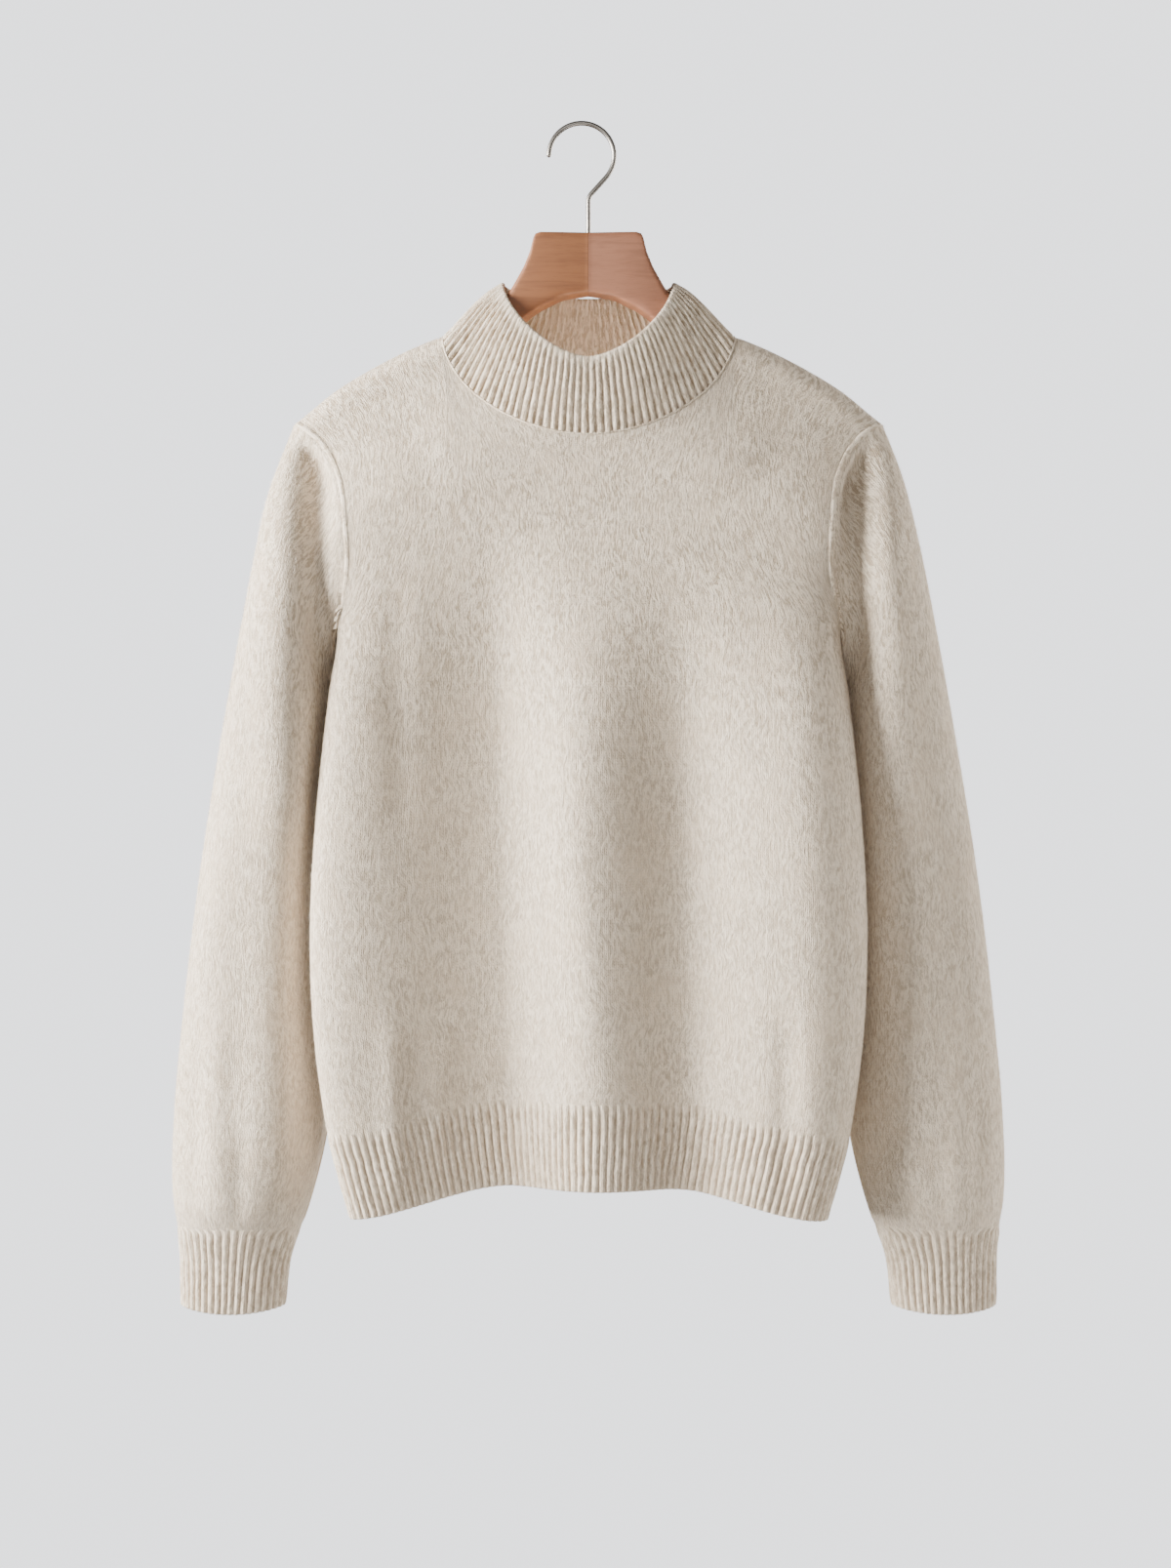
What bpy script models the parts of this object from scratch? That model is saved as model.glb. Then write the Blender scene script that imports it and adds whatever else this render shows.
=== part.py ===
# A mock neck sweater hanging on a wooden hanger.
#
# Metres, +Z up, the front faces -Y. The origin is the point inside the crown of the hook where a rail carries
# it. The stem of the hook stands a little to +X of the crown, and the garment's middle hangs below the stem.
# Below, x is measured sideways from that middle, y forwards (-) or backwards (+), and "drop" is the distance
# below the crown. FRONT and BACK are the signs of y.

import math
from collections import namedtuple

import bmesh
import bpy
import numpy as np

FRONT = -1
BACK = 1
NAMES = {FRONT: "front", BACK: "back"}

# Driving sizes
STEM_OFFSET = 0.0047
KNIT_WALL = 0.003
SEAM_WALL = 0.0018
SEAM_GAP = 0.0003
INNER_OPENING = 5
RIB_CREST = 0.0005
RIB_GROOVE = 0.0008
RIB_HEIGHT = 0.058
ARMPIT_DROP = 0.345
HANGER_REACH = 0.017
SHOULDER_FALL = 0.130

HEM_RIBS = 82
CUFF_RIBS = 38
COLLAR_FRONT_RIBS = 50
COLLAR_BACK_RIBS = 38
POINTS_PER_RIB = 2
RIB_POINTS_PER_INNER = 4

# Mesh spacing: columns across a panel, rows up it, rings down a sleeve
SHOULDER_COLUMNS = 6
NECK_COLUMNS = 16
LOWER_ROWS = 11
ARMHOLE_ROWS = 9
SLEEVE_RINGS = 18
HEM_ROWS = 2
CUFF_ROWS = 2
COLLAR_ROWS = 3
SAMPLES_PER_COLUMN = 10
ARMHOLE_CROWDING = 1.3
ARMHOLE_TURN = 0.6

# The shoulder seam, from where it would meet in the middle of the neck to the shoulder point
ShoulderPoint = namedtuple("ShoulderPoint", "x drop")
SHOULDER_LINE = (
    ShoulderPoint(0.0000, 0.1100),
    ShoulderPoint(0.0500, 0.1275),
    ShoulderPoint(0.0995, 0.1450),
    ShoulderPoint(0.1225, 0.1545),
    ShoulderPoint(0.1490, 0.1680),
    ShoulderPoint(0.1760, 0.1850),
    ShoulderPoint(0.1960, 0.2015),
    ShoulderPoint(0.2020, 0.2060),
)
NECK_HALF_WIDTH = 0.0995
SHOULDER_HALF_WIDTH = 0.2020

# Level sections of the body: how far the front and back stand out, and how square each is towards its sides.
# Above the armpit the half width is where the section would close.
BodySection = namedtuple("BodySection", "drop half_width front back front_square back_square arch_square")
BODY_SECTIONS = (
    BodySection(0.110, 0.2200, 0.052, 0.040, 2.6, 2.4, 8.0),
    BodySection(0.206, 0.2150, 0.052, 0.040, 2.6, 2.4, 8.0),
    BodySection(0.275, 0.1900, 0.054, 0.044, 2.6, 2.3, 6.0),
    BodySection(0.325, 0.1730, 0.055, 0.047, 2.7, 2.2, 4.0),
    BodySection(0.345, 0.1710, 0.055, 0.048, 2.8, 2.1, 3.5),
    BodySection(0.391, 0.1770, 0.056, 0.050, 2.9, 2.0, 3.0),
    BodySection(0.470, 0.1855, 0.057, 0.051, 3.1, 2.0, 2.6),
    BodySection(0.550, 0.1890, 0.056, 0.051, 3.4, 2.0, 2.5),
    BodySection(0.610, 0.1860, 0.054, 0.050, 3.8, 2.3, 2.5),
    BodySection(0.667, 0.1775, 0.052, 0.048, 4.2, 2.8, 2.5),
    BodySection(0.725, 0.1625, 0.050, 0.046, 4.6, 3.0, 2.5),
)

# Armhole seams from the armpit to the shoulder point
ArmholePoint = namedtuple("ArmholePoint", "front_x back_x drop")
ARMHOLE = (
    ArmholePoint(0.1710, 0.1710, 0.3450),
    ArmholePoint(0.1670, 0.1690, 0.3300),
    ArmholePoint(0.1640, 0.1685, 0.3120),
    ArmholePoint(0.1650, 0.1710, 0.2780),
    ArmholePoint(0.1715, 0.1765, 0.2420),
    ArmholePoint(0.1790, 0.1830, 0.2270),
    ArmholePoint(0.1880, 0.1905, 0.2165),
    ArmholePoint(0.2020, 0.2020, 0.2060),
)

# How far the neck seam falls below the shoulder seam's inner end
NeckSeam = namedtuple("NeckSeam", "fall squareness")
NECK_SEAM = {FRONT: NeckSeam(0.072, 1.85), BACK: NeckSeam(0.018, 2.4)}

# The long soft folds that fall from the chest to the hem, as troughs pressed into the face
Fold = namedtuple("Fold", "side x half_width depth start")
FOLDS = (
    Fold(FRONT, -0.063, 0.036, 0.026, 0.300),
    Fold(FRONT, 0.055, 0.033, 0.024, 0.320),
    Fold(BACK, -0.096, 0.032, 0.020, 0.380),
    Fold(BACK, -0.008, 0.034, 0.024, 0.300),
    Fold(BACK, 0.082, 0.031, 0.022, 0.350),
)
HEM_DROP = 0.725
FOLD_GROWTH = 0.75
FOLD_SQUARE = 4

# The hem hangs lower at its sides than in its middle
HEM_SAG = 0.021
HEM_SAG_START = 0.050
HEM_SAG_SPAN = 0.120

# Rings of a sleeve, from the armhole to the cuff: the outer and inner ends of each, and its half depth
SleeveRing = namedtuple("SleeveRing", "outer_x outer_drop outer_y inner_x inner_drop inner_y half_depth")
SLEEVE_RINGS_TABLE = (
    SleeveRing(0.2020, 0.2060, 0.000, 0.1710, 0.3450, 0.000, 0.030),
    SleeveRing(0.2170, 0.2480, 0.000, 0.1770, 0.3640, 0.012, 0.040),
    SleeveRing(0.2275, 0.2890, 0.003, 0.1790, 0.3900, 0.024, 0.046),
    SleeveRing(0.2390, 0.3450, 0.006, 0.1800, 0.4300, 0.032, 0.049),
    SleeveRing(0.2530, 0.4200, 0.010, 0.1810, 0.4800, 0.038, 0.049),
    SleeveRing(0.2680, 0.5100, 0.014, 0.1820, 0.5450, 0.040, 0.047),
    SleeveRing(0.2805, 0.6100, 0.018, 0.1820, 0.6280, 0.039, 0.046),
    SleeveRing(0.2870, 0.6800, 0.020, 0.1820, 0.6870, 0.033, 0.045),
    SleeveRing(0.2885, 0.7200, 0.021, 0.1890, 0.7230, 0.027, 0.043),
    SleeveRing(0.2875, 0.7420, 0.021, 0.1945, 0.7430, 0.023, 0.038),
    SleeveRing(0.2850, 0.7570, 0.021, 0.1990, 0.7570, 0.021, 0.029),
)
SLEEVE_BLEND = 0.085
RING_CROWDING = 0.09

# Rings of a cuff
CuffRing = namedtuple("CuffRing", "outer_x inner_x drop half_depth")
CUFF_RINGS = (
    CuffRing(0.2850, 0.1990, 0.757, 0.0290),
    CuffRing(0.2832, 0.2055, 0.776, 0.0225),
    CuffRing(0.2826, 0.2105, 0.816, 0.0185),
)
CUFF_Y = 0.021
CUFF_BOW = 0.004

# The top edge of the collar
COLLAR_HALF_WIDTH = 0.0605
COLLAR_SIDE_DROP = 0.1085
CollarEdge = namedtuple("CollarEdge", "y plan_square fall squareness")
COLLAR_EDGE = {
    FRONT: CollarEdge(0.042, 2.5, 0.0585, 1.62),
    BACK: CollarEdge(0.026, 2.3, 0.008, 2.0),
}

# Sections of half a hanger, from its middle to its tip
HangerSection = namedtuple("HangerSection", "x top bottom half_thickness squareness")
HANGER_SECTIONS = (
    HangerSection(0.0000, 0.0750, 0.1160, 0.0115, 9.0),
    HangerSection(0.0180, 0.0750, 0.1192, 0.0115, 9.0),
    HangerSection(0.0330, 0.0750, 0.1270, 0.0115, 9.0),
    HangerSection(0.0362, 0.0762, 0.1292, 0.0115, 9.0),
    HangerSection(0.0376, 0.0790, 0.1302, 0.0115, 9.0),
    HangerSection(0.0398, 0.0880, 0.1320, 0.0115, 8.0),
    HangerSection(0.0440, 0.0985, 0.1355, 0.0115, 7.0),
    HangerSection(0.0520, 0.1125, 0.1410, 0.0115, 5.0),
    HangerSection(0.0640, 0.1290, 0.1510, 0.0114, 3.0),
    HangerSection(0.0800, 0.1430, 0.1630, 0.0110, 2.2),
    HangerSection(0.0995, 0.1530, 0.1750, 0.0106, 2.0),
)
HANGER_ARM = (0.1100, 0.1250, 0.1420, 0.1600, 0.1760, 0.1860)
ARM_HEIGHT = 0.024
ARM_HALF_THICKNESS = 0.0115
TIP_HALF_THICKNESS = 0.0100
ARM_SEAT = 0.0043
TIP_SEAT = 0.0065
SEAT_GROWTH = 4
TIP_TAPER = 0.3
HANGER_SIDES = 16
HANGER_SWEEP = 0.0030
HANGER_SWEEP_REACH = 0.045

# The wire hook
WIRE_RADIUS = 0.0017
HOOK_RADIUS = 0.0224
HOOK_TIP_ANGLE = 183
HOOK_END_ANGLE = -42
CROWN_POINTS = 22
BEND_POINTS = 7
BEND_RADIUS = 0.009
STEM_DEPTH = 0.020
BORE_CLEARANCE = 0.0003


# ---- Curves and tables

def smooth(rows, key, value, where):
    """Reads a column of a table as a smooth curve over another of its columns."""
    at = np.array([getattr(row, key) for row in rows])
    height = np.array([getattr(row, value) for row in rows])
    if at[0] > at[-1]:
        at, height = at[::-1], height[::-1]
    slope = np.gradient(height, at)
    where = np.clip(where, at[0], at[-1])
    i = np.clip(np.searchsorted(at, where, side="right") - 1, 0, len(at) - 2)
    span = at[i + 1] - at[i]
    t = (where - at[i]) / span
    start = (1 + 2 * t) * (1 - t) ** 2 * height[i] + t * (1 - t) ** 2 * span * slope[i]
    end = t * t * (3 - 2 * t) * height[i + 1] - t * t * (1 - t) * span * slope[i + 1]
    return start + end


def ease(t):
    """0 to 1, level at both ends."""
    t = np.clip(t, 0, 1)
    return t * t * (3 - 2 * t)


def rounded(u, squareness):
    """Height of a superellipse of unit size over u."""
    return (1 - np.clip(np.abs(u), 0, 1) ** squareness) ** (1 / squareness)


def unit(vectors):
    return vectors / np.linalg.norm(vectors, axis=-1, keepdims=True)


def lengths_along(points):
    steps = np.linalg.norm(np.diff(points, axis=0), axis=1)
    return np.concatenate([[0], np.cumsum(steps)])


def at_fractions(points, fractions):
    """Points at the given fractions of a polyline's length."""
    along = lengths_along(points)
    target = np.asarray(fractions) * along[-1]
    return np.stack([np.interp(target, along, points[:, axis]) for axis in range(points.shape[1])], axis=1)


def at_columns(row, columns):
    """Points on the polyline through a row's vertices, at fractional column numbers."""
    numbers = np.arange(len(row))
    return np.stack([np.interp(columns, numbers, row[:, axis]) for axis in range(3)], axis=1)


# ---- The body's form

def shoulder_drop(x):
    return smooth(SHOULDER_LINE, "x", "drop", np.abs(x))


def fold_depth(side, x, drop):
    pressed = np.zeros(np.broadcast(x, drop).shape)
    for fold in FOLDS:
        if fold.side == side:
            grown = ease((drop - fold.start) / (HEM_DROP - fold.start)) ** FOLD_GROWTH
            pressed = pressed + fold.depth * grown * np.exp(-((x - fold.x) / fold.half_width) ** 2)
    return pressed


def body_y(side, x, drop):
    """The y of the body's face. It arches over the hanger, then comes out to its full depth."""
    name = NAMES[side]
    below = np.maximum(drop - shoulder_drop(x), 0)
    arch = HANGER_REACH * np.sqrt(1 - (1 - np.minimum(below / HANGER_REACH, 1)) ** 2)
    full = smooth(BODY_SECTIONS, "drop", name, drop)
    across = x / smooth(BODY_SECTIONS, "drop", "half_width", drop)
    square = smooth(BODY_SECTIONS, "drop", name + "_square", drop)
    fullness = (full - HANGER_REACH) * ease(below / SHOULDER_FALL) * rounded(across, square)
    arch = arch * rounded(across, smooth(BODY_SECTIONS, "drop", "arch_square", drop))
    return side * (arch + fullness - fold_depth(side, x, drop) * rounded(across, FOLD_SQUARE))


def superellipse_x(half_width, squareness, angle):
    return half_width * np.sign(np.sin(angle)) * np.abs(np.sin(angle)) ** (2 / squareness)


def level_section(side, drop, samples):
    """One level section of a panel from side seam to side seam, as evenly spaced x and y."""
    angle = np.linspace(-math.pi / 2, math.pi / 2, 1201)
    half_width = smooth(BODY_SECTIONS, "drop", "half_width", drop)
    x = superellipse_x(half_width, smooth(BODY_SECTIONS, "drop", NAMES[side] + "_square", drop), angle)
    y = body_y(side, x, np.full_like(x, drop))
    return at_fractions(np.stack([x, y], axis=1), np.linspace(0, 1, samples))


def sagging_row(side, drop, sag, samples):
    """A level section whose sides hang lower than its middle."""
    x, y = level_section(side, drop, samples).T
    lowered = drop + sag * ease((np.abs(x) - HEM_SAG_START) / HEM_SAG_SPAN)
    return np.stack([x, y, -lowered], axis=1)


def neck_seam(side, samples):
    """x and drop of the neck seam, from its left end to its right end."""
    seam = NECK_SEAM[side]
    angle = np.linspace(-math.pi / 2, math.pi / 2, 801)
    x = superellipse_x(NECK_HALF_WIDTH, seam.squareness, angle)
    drop = shoulder_drop(NECK_HALF_WIDTH) + seam.fall * rounded(x / NECK_HALF_WIDTH, seam.squareness)
    return at_fractions(np.stack([x, drop], axis=1), np.linspace(0, 1, samples))


def top_edge(side):
    """x and drop along a panel's top: shoulder seam, neck seam, shoulder seam."""
    shoulder_x = np.linspace(SHOULDER_HALF_WIDTH, NECK_HALF_WIDTH, SHOULDER_COLUMNS * SAMPLES_PER_COLUMN + 1)
    shoulder = np.stack([-shoulder_x, shoulder_drop(shoulder_x)], axis=1)
    neck = neck_seam(side, NECK_COLUMNS * SAMPLES_PER_COLUMN + 1)
    other = np.stack([-shoulder[::-1, 0], shoulder[::-1, 1]], axis=1)
    return np.concatenate([shoulder[:-1], neck, other[1:]])


def armhole_edge(side, fractions):
    """x and drop of the armhole seam at fractions of its length from the armpit, on the +X side."""
    drop = np.linspace(ARMHOLE[0].drop, ARMHOLE[-1].drop, 401)
    x = smooth(ARMHOLE, "drop", NAMES[side] + "_x", drop)
    seam = np.stack([x, drop, body_y(side, x, drop)], axis=1)
    return at_fractions(seam, fractions)[:, :2]


def armhole_fractions():
    """Rows lie closer together towards the shoulder, where the cloth arches over the hanger."""
    return 1 - (1 - np.arange(ARMHOLE_ROWS + 1) / ARMHOLE_ROWS) ** ARMHOLE_CROWDING


def upper_row(side, r, edge):
    """A row between the armpit (r = 0) and the shoulder and neck seams (r = 1)."""
    top = top_edge(side)
    samples = len(top)
    bottom_x = level_section(side, ARMPIT_DROP, samples)[:, 0]
    bottom = np.stack([bottom_x, np.full(samples, ARMPIT_DROP)], axis=1)
    row = (1 - r) * bottom + r * top
    left_edge = np.array([-edge[0], edge[1]])
    towards_right = np.linspace(0, 1, samples)[:, None]
    row = row + (1 - towards_right) * (left_edge - row[0]) + towards_right * (edge - row[-1])
    return np.stack([row[:, 0], body_y(side, row[:, 0], row[:, 1]), -row[:, 1]], axis=1)


def body_grid(side):
    """Face points of a body panel, a row for each height from the hem rib to the shoulders."""
    columns = 2 * SHOULDER_COLUMNS + NECK_COLUMNS
    rows = []
    for i in range(LOWER_ROWS):
        rise = i / LOWER_ROWS
        nominal = BODY_SECTIONS[-2].drop + (ARMPIT_DROP - BODY_SECTIONS[-2].drop) * rise
        rows.append(sagging_row(side, nominal, HEM_SAG * (1 - rise), columns + 1))
    fractions = armhole_fractions()
    edges = armhole_edge(side, fractions)
    top = upper_row(side, 1, edges[-1])
    top_share = lengths_along(top)[::SAMPLES_PER_COLUMN] / lengths_along(top)[-1]
    even_share = np.linspace(0, 1, columns + 1)
    for r, edge in zip(fractions, edges):
        rows.append(at_fractions(upper_row(side, r, edge), (1 - r) * even_share + r * top_share))
    return np.array(rows)


# ---- Cloth walls

def face_normals(grid, middle, closed):
    """Outward normals of a grid's points. Middle is a point, or a point for each row, inside the form."""
    if closed:
        across = np.roll(grid, -1, axis=1) - np.roll(grid, 1, axis=1)
    else:
        across = np.gradient(grid, axis=1)
    normals = unit(np.cross(across, np.gradient(grid, axis=0)))
    if np.sum(normals * (grid - middle)) < 0:
        normals = -normals
    return normals


def seam_shift(edge, rays, inside, closed=False, back=SEAM_GAP / 2):
    """Moves an edge back from its seam. The rays point into the cloth's thickness."""
    if closed:
        along = np.roll(edge, -1, axis=0) - np.roll(edge, 1, axis=0)
    else:
        along = np.gradient(edge, axis=0)
    across = unit(np.cross(along, rays))
    facing = np.sign(np.sum(across * (inside - edge), axis=1, keepdims=True))
    return across * facing * back


def rib_relief(points):
    """Relief of each column across a row of ribs: grooves and crests in turn."""
    return np.where(np.arange(points) % POINTS_PER_RIB == 0, -RIB_GROOVE, RIB_CREST)


def stitch(outer, inner, ratio):
    """Faces between an outer and an inner loop of vertex numbers, where each inner step spans several outer."""
    faces = []
    half = ratio // 2
    for j in range(len(inner) - 1):
        for i in range(ratio):
            corner = inner[j] if i < half else inner[j + 1]
            faces.append((outer[j * ratio + i], outer[j * ratio + i + 1], corner))
        faces.append((outer[j * ratio + half], inner[j], inner[j + 1]))
    return faces


def grid_faces(numbers):
    rows, columns = numbers.shape
    return [
        (numbers[i, j], numbers[i, j + 1], numbers[i + 1, j + 1], numbers[i + 1, j])
        for i in range(rows - 1) for j in range(columns - 1)
    ]


def make_object(name, points, faces, finish, parent):
    """A mesh object from points and faces, its normals turned outwards, shaded smooth up to sharp edges."""
    mesh = bpy.data.meshes.new(name)
    mesh.from_pydata([tuple(p) for p in points], [], [tuple(int(v) for v in f) for f in faces])
    shaped = bmesh.new()
    shaped.from_mesh(mesh)
    bmesh.ops.recalc_face_normals(shaped, faces=shaped.faces)
    shaped.to_mesh(mesh)
    shaped.free()
    mesh.shade_smooth()
    mesh.set_sharp_from_angle(angle=math.radians(50))
    mesh.materials.append(finish)
    thing = bpy.data.objects.new(name, mesh)
    thing.parent = parent
    parent.users_collection[0].objects.link(thing)
    return thing


def cloth(name, face, rays, shift, finish, parent, relief=None, ratio=1, closed=False, wall=KNIT_WALL):
    """A closed wall of cloth. Its face follows the grid, raised by the relief, and its inside is plain."""
    raised = 0 if relief is None else relief[None, :, None]
    outer = face + shift - rays * raised
    inner = (face + shift * INNER_OPENING + rays * np.broadcast_to(wall, face.shape[:2])[..., None])[:, ::ratio]
    outer_numbers = np.arange(outer.shape[0] * outer.shape[1]).reshape(outer.shape[:2])
    inner_numbers = outer_numbers.size + np.arange(inner.shape[0] * inner.shape[1]).reshape(inner.shape[:2])
    if closed:
        outer_numbers = np.hstack([outer_numbers, outer_numbers[:, :1]])
        inner_numbers = np.hstack([inner_numbers, inner_numbers[:, :1]])
    faces = grid_faces(outer_numbers) + grid_faces(inner_numbers)
    for row in (0, -1):
        faces += stitch(outer_numbers[row], inner_numbers[row], ratio)
    if not closed:
        for column in (0, -1):
            faces += stitch(outer_numbers[:, column], inner_numbers[:, column], 1)
    points = np.concatenate([outer.reshape(-1, 3), inner.reshape(-1, 3)])
    return make_object(name, points, faces, finish, parent)


# ---- Sleeves

def read_ring(table, key, where):
    """A table's ring at a height between its rows."""
    return table[0]._make(smooth(table, key, field, where) for field in table[0]._fields)


def sleeve_grid(armhole):
    """Rings of the -X sleeve. The first is the armhole, from the armpit up the front and down the back."""
    count = armhole.shape[0]
    turn = 2 * math.pi * np.arange(count) / count
    t = np.linspace(0, 1, SLEEVE_RINGS + 1)
    t = t - RING_CROWDING * np.sin(2 * math.pi * t)
    first, last = SLEEVE_RINGS_TABLE[0].outer_drop, SLEEVE_RINGS_TABLE[-1].outer_drop
    rings = []
    for drop in first + (last - first) * t:
        ring = read_ring(SLEEVE_RINGS_TABLE, "outer_drop", drop)
        outer = np.array([-ring.outer_x, ring.outer_y, -ring.outer_drop])
        inner = np.array([-ring.inner_x, ring.inner_y, -ring.inner_drop])
        depth = np.array([0, -ring.half_depth, 0])
        rings.append((outer + inner) / 2 + np.cos(turn)[:, None] * (inner - outer) / 2
                     + np.sin(turn)[:, None] * depth)
    rings = np.array(rings)
    kept = 1 - ease((-rings[:, count // 2, 2] - first) / SLEEVE_BLEND)
    return rings + kept[:, None, None] * (armhole - rings[0])


def armhole_rays(panel_normals, sleeve_normals, armhole):
    """The shared direction into the cloth along an armhole, so that the walls meet in a mitre."""
    middle = (armhole[0] + armhole[len(armhole) // 2]) / 2
    rays = unit(ARMHOLE_TURN * unit(middle - armhole) - panel_normals - sleeve_normals)
    for corner in (0, len(armhole) // 2):
        rays[corner, 1] = 0
    return unit(rays)


# ---- The ribs

def hem_rib(side, seam_row, seam_rays):
    """The hem rib's face, its rays and its relief. Its top row lies on the panel's own bottom row."""
    points = HEM_RIBS * POINTS_PER_RIB + 1
    columns = np.linspace(0, len(seam_row) - 1, points)
    rows = [at_columns(seam_row, columns)]
    for i in range(1, HEM_ROWS + 1):
        nominal = BODY_SECTIONS[-2].drop + RIB_HEIGHT * i / HEM_ROWS
        rows.append(sagging_row(side, nominal, HEM_SAG, points))
    face = np.array(rows)
    rays = -face_normals(face, np.array([0, 0, face[..., 2].mean()]), closed=False)
    rays[:, [0, -1], 1] = 0
    rays[0] = at_columns(seam_rays, columns)
    return face, unit(rays), rib_relief(points)


def wrapped(ring):
    return np.concatenate([ring, ring[:1]])


def cuff_rib(seam_ring, seam_rays):
    """The -X cuff's face, its rays and its relief. Its top ring lies on the sleeve's last ring."""
    points = CUFF_RIBS * POINTS_PER_RIB
    columns = np.arange(points) * len(seam_ring) / points
    turn = 2 * math.pi * np.arange(points) / points
    rows = [at_columns(wrapped(seam_ring), columns)]
    for t in np.linspace(0, 1, CUFF_ROWS + 1)[1:]:
        drop = CUFF_RINGS[0].drop + (CUFF_RINGS[-1].drop - CUFF_RINGS[0].drop) * t
        ring = read_ring(CUFF_RINGS, "drop", drop)
        half_width = (ring.outer_x - ring.inner_x) / 2
        angle = even_turn(half_width, ring.half_depth, turn)
        x = -(ring.outer_x + ring.inner_x) / 2 + half_width * np.cos(angle)
        y = CUFF_Y - ring.half_depth * np.sin(angle)
        rows.append(np.stack([x, y, -ring.drop + CUFF_BOW * t * np.cos(angle) ** 2], axis=1))
    face = np.array(rows)
    rays = -face_normals(face, face.mean(axis=1, keepdims=True), closed=True)
    rays[0] = at_columns(wrapped(seam_rays), columns)
    return face, unit(rays), rib_relief(points)


def even_turn(half_width, half_depth, turn):
    """Angles that space points evenly round an ellipse."""
    angle = np.linspace(0, 2 * math.pi, 721)
    oval = np.stack([half_width * np.cos(angle), half_depth * np.sin(angle)], axis=1)
    along = lengths_along(oval)
    return np.interp(turn / (2 * math.pi) * along[-1], along, angle)


def collar_edge(side, samples):
    """The collar's top edge, half way round, from the -X side to the +X side."""
    edge = COLLAR_EDGE[side]
    angle = np.linspace(-math.pi / 2, math.pi / 2, 601)
    across = superellipse_x(1, edge.plan_square, angle)
    y = side * edge.y * rounded(across, edge.plan_square)
    drop = COLLAR_SIDE_DROP + edge.fall * rounded(across, edge.squareness)
    points = np.stack([COLLAR_HALF_WIDTH * across, y, -drop], axis=1)
    return at_fractions(points, np.linspace(0, 1, samples))


def collar_rib(neck):
    """The collar's face from the neck seam up, its rays and its relief. It runs along the front, then the back."""
    halves = []
    for side, ribs in ((FRONT, COLLAR_FRONT_RIBS), (BACK, COLLAR_BACK_RIBS)):
        points = ribs * POINTS_PER_RIB + 1
        seam_row, seam_rays = neck[side]
        columns = np.linspace(0, NECK_COLUMNS, points)
        bottom, top = at_columns(seam_row, columns), collar_edge(side, points)
        rows = np.array([bottom + (top - bottom) * t for t in np.linspace(0, 1, COLLAR_ROWS + 1)])
        halves.append((rows, at_columns(seam_rays, columns)))
    (front, front_rays), (back, back_rays) = halves
    face = np.concatenate([front[:, :-1], back[:, :0:-1]], axis=1)
    rays = -face_normals(face, face.mean(axis=1, keepdims=True), closed=True)
    rays[0] = np.concatenate([front_rays[:-1], back_rays[:0:-1]])
    return face, unit(rays), rib_relief(face.shape[1])


# ---- The hanger and its hook

def hanger_sections():
    """Sections of half the hanger. Along the arm its top follows the cloth that lies on it."""
    sections = list(HANGER_SECTIONS)
    for x in HANGER_ARM:
        to_tip = (x - HANGER_ARM[0]) / (HANGER_ARM[-1] - HANGER_ARM[0])
        top = float(shoulder_drop(x)) + ARM_SEAT + (TIP_SEAT - ARM_SEAT) * to_tip ** SEAT_GROWTH
        thickness = ARM_HALF_THICKNESS + (TIP_HALF_THICKNESS - ARM_HALF_THICKNESS) * to_tip
        sections.append(HangerSection(x, top, top + ARM_HEIGHT * (1 - TIP_TAPER * to_tip ** 2), thickness, 2.0))
    return sections


def make_hanger(finish, parent):
    half = hanger_sections()
    rings = []
    for sign, sections in ((-1, half[:0:-1]), (1, half)):
        for section in sections:
            turn = 2 * math.pi * (np.arange(HANGER_SIDES) + 0.5) / HANGER_SIDES
            power = 2 / section.squareness
            out = section.x / HANGER_SWEEP_REACH
            swept = -HANGER_SWEEP * out * math.exp((1 - out ** 2) / 2)
            y = swept + section.half_thickness * np.sign(np.cos(turn)) * np.abs(np.cos(turn)) ** power
            half_height = (section.bottom - section.top) / 2
            z = half_height * np.sign(np.sin(turn)) * np.abs(np.sin(turn)) ** power
            z = z - (section.top + section.bottom) / 2
            rings.append(np.stack([np.full_like(y, sign * section.x), y, z], axis=1))
    rings = np.array(rings)
    numbers = np.arange(rings.shape[0] * HANGER_SIDES).reshape(rings.shape[:2])
    faces = grid_faces(np.hstack([numbers, numbers[:, :1]])) + [tuple(numbers[0]), tuple(numbers[-1])]
    return make_object("hanger", rings.reshape(-1, 3), faces, finish, parent)


def bore_hanger(hanger, cutters, parent):
    """The blind hole in the hanger's top that takes the stem of the hook."""
    depth = STEM_DEPTH + BORE_CLEARANCE
    shape = bmesh.new()
    radius = WIRE_RADIUS + BORE_CLEARANCE
    bmesh.ops.create_cone(shape, cap_ends=True, segments=12, radius1=radius, radius2=radius, depth=2 * depth)
    mesh = bpy.data.meshes.new("stem_bore")
    shape.to_mesh(mesh)
    shape.free()
    cutter = bpy.data.objects.new("stem_bore", mesh)
    cutter.location = (0, 0, -HANGER_SECTIONS[0].top)
    cutter.parent = parent
    cutter.hide_render = True
    cutter.display_type = "WIRE"
    cutters.objects.link(cutter)
    cut = hanger.modifiers.new("stem bore", "BOOLEAN")
    cut.operation = "DIFFERENCE"
    cut.object = cutter


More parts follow.
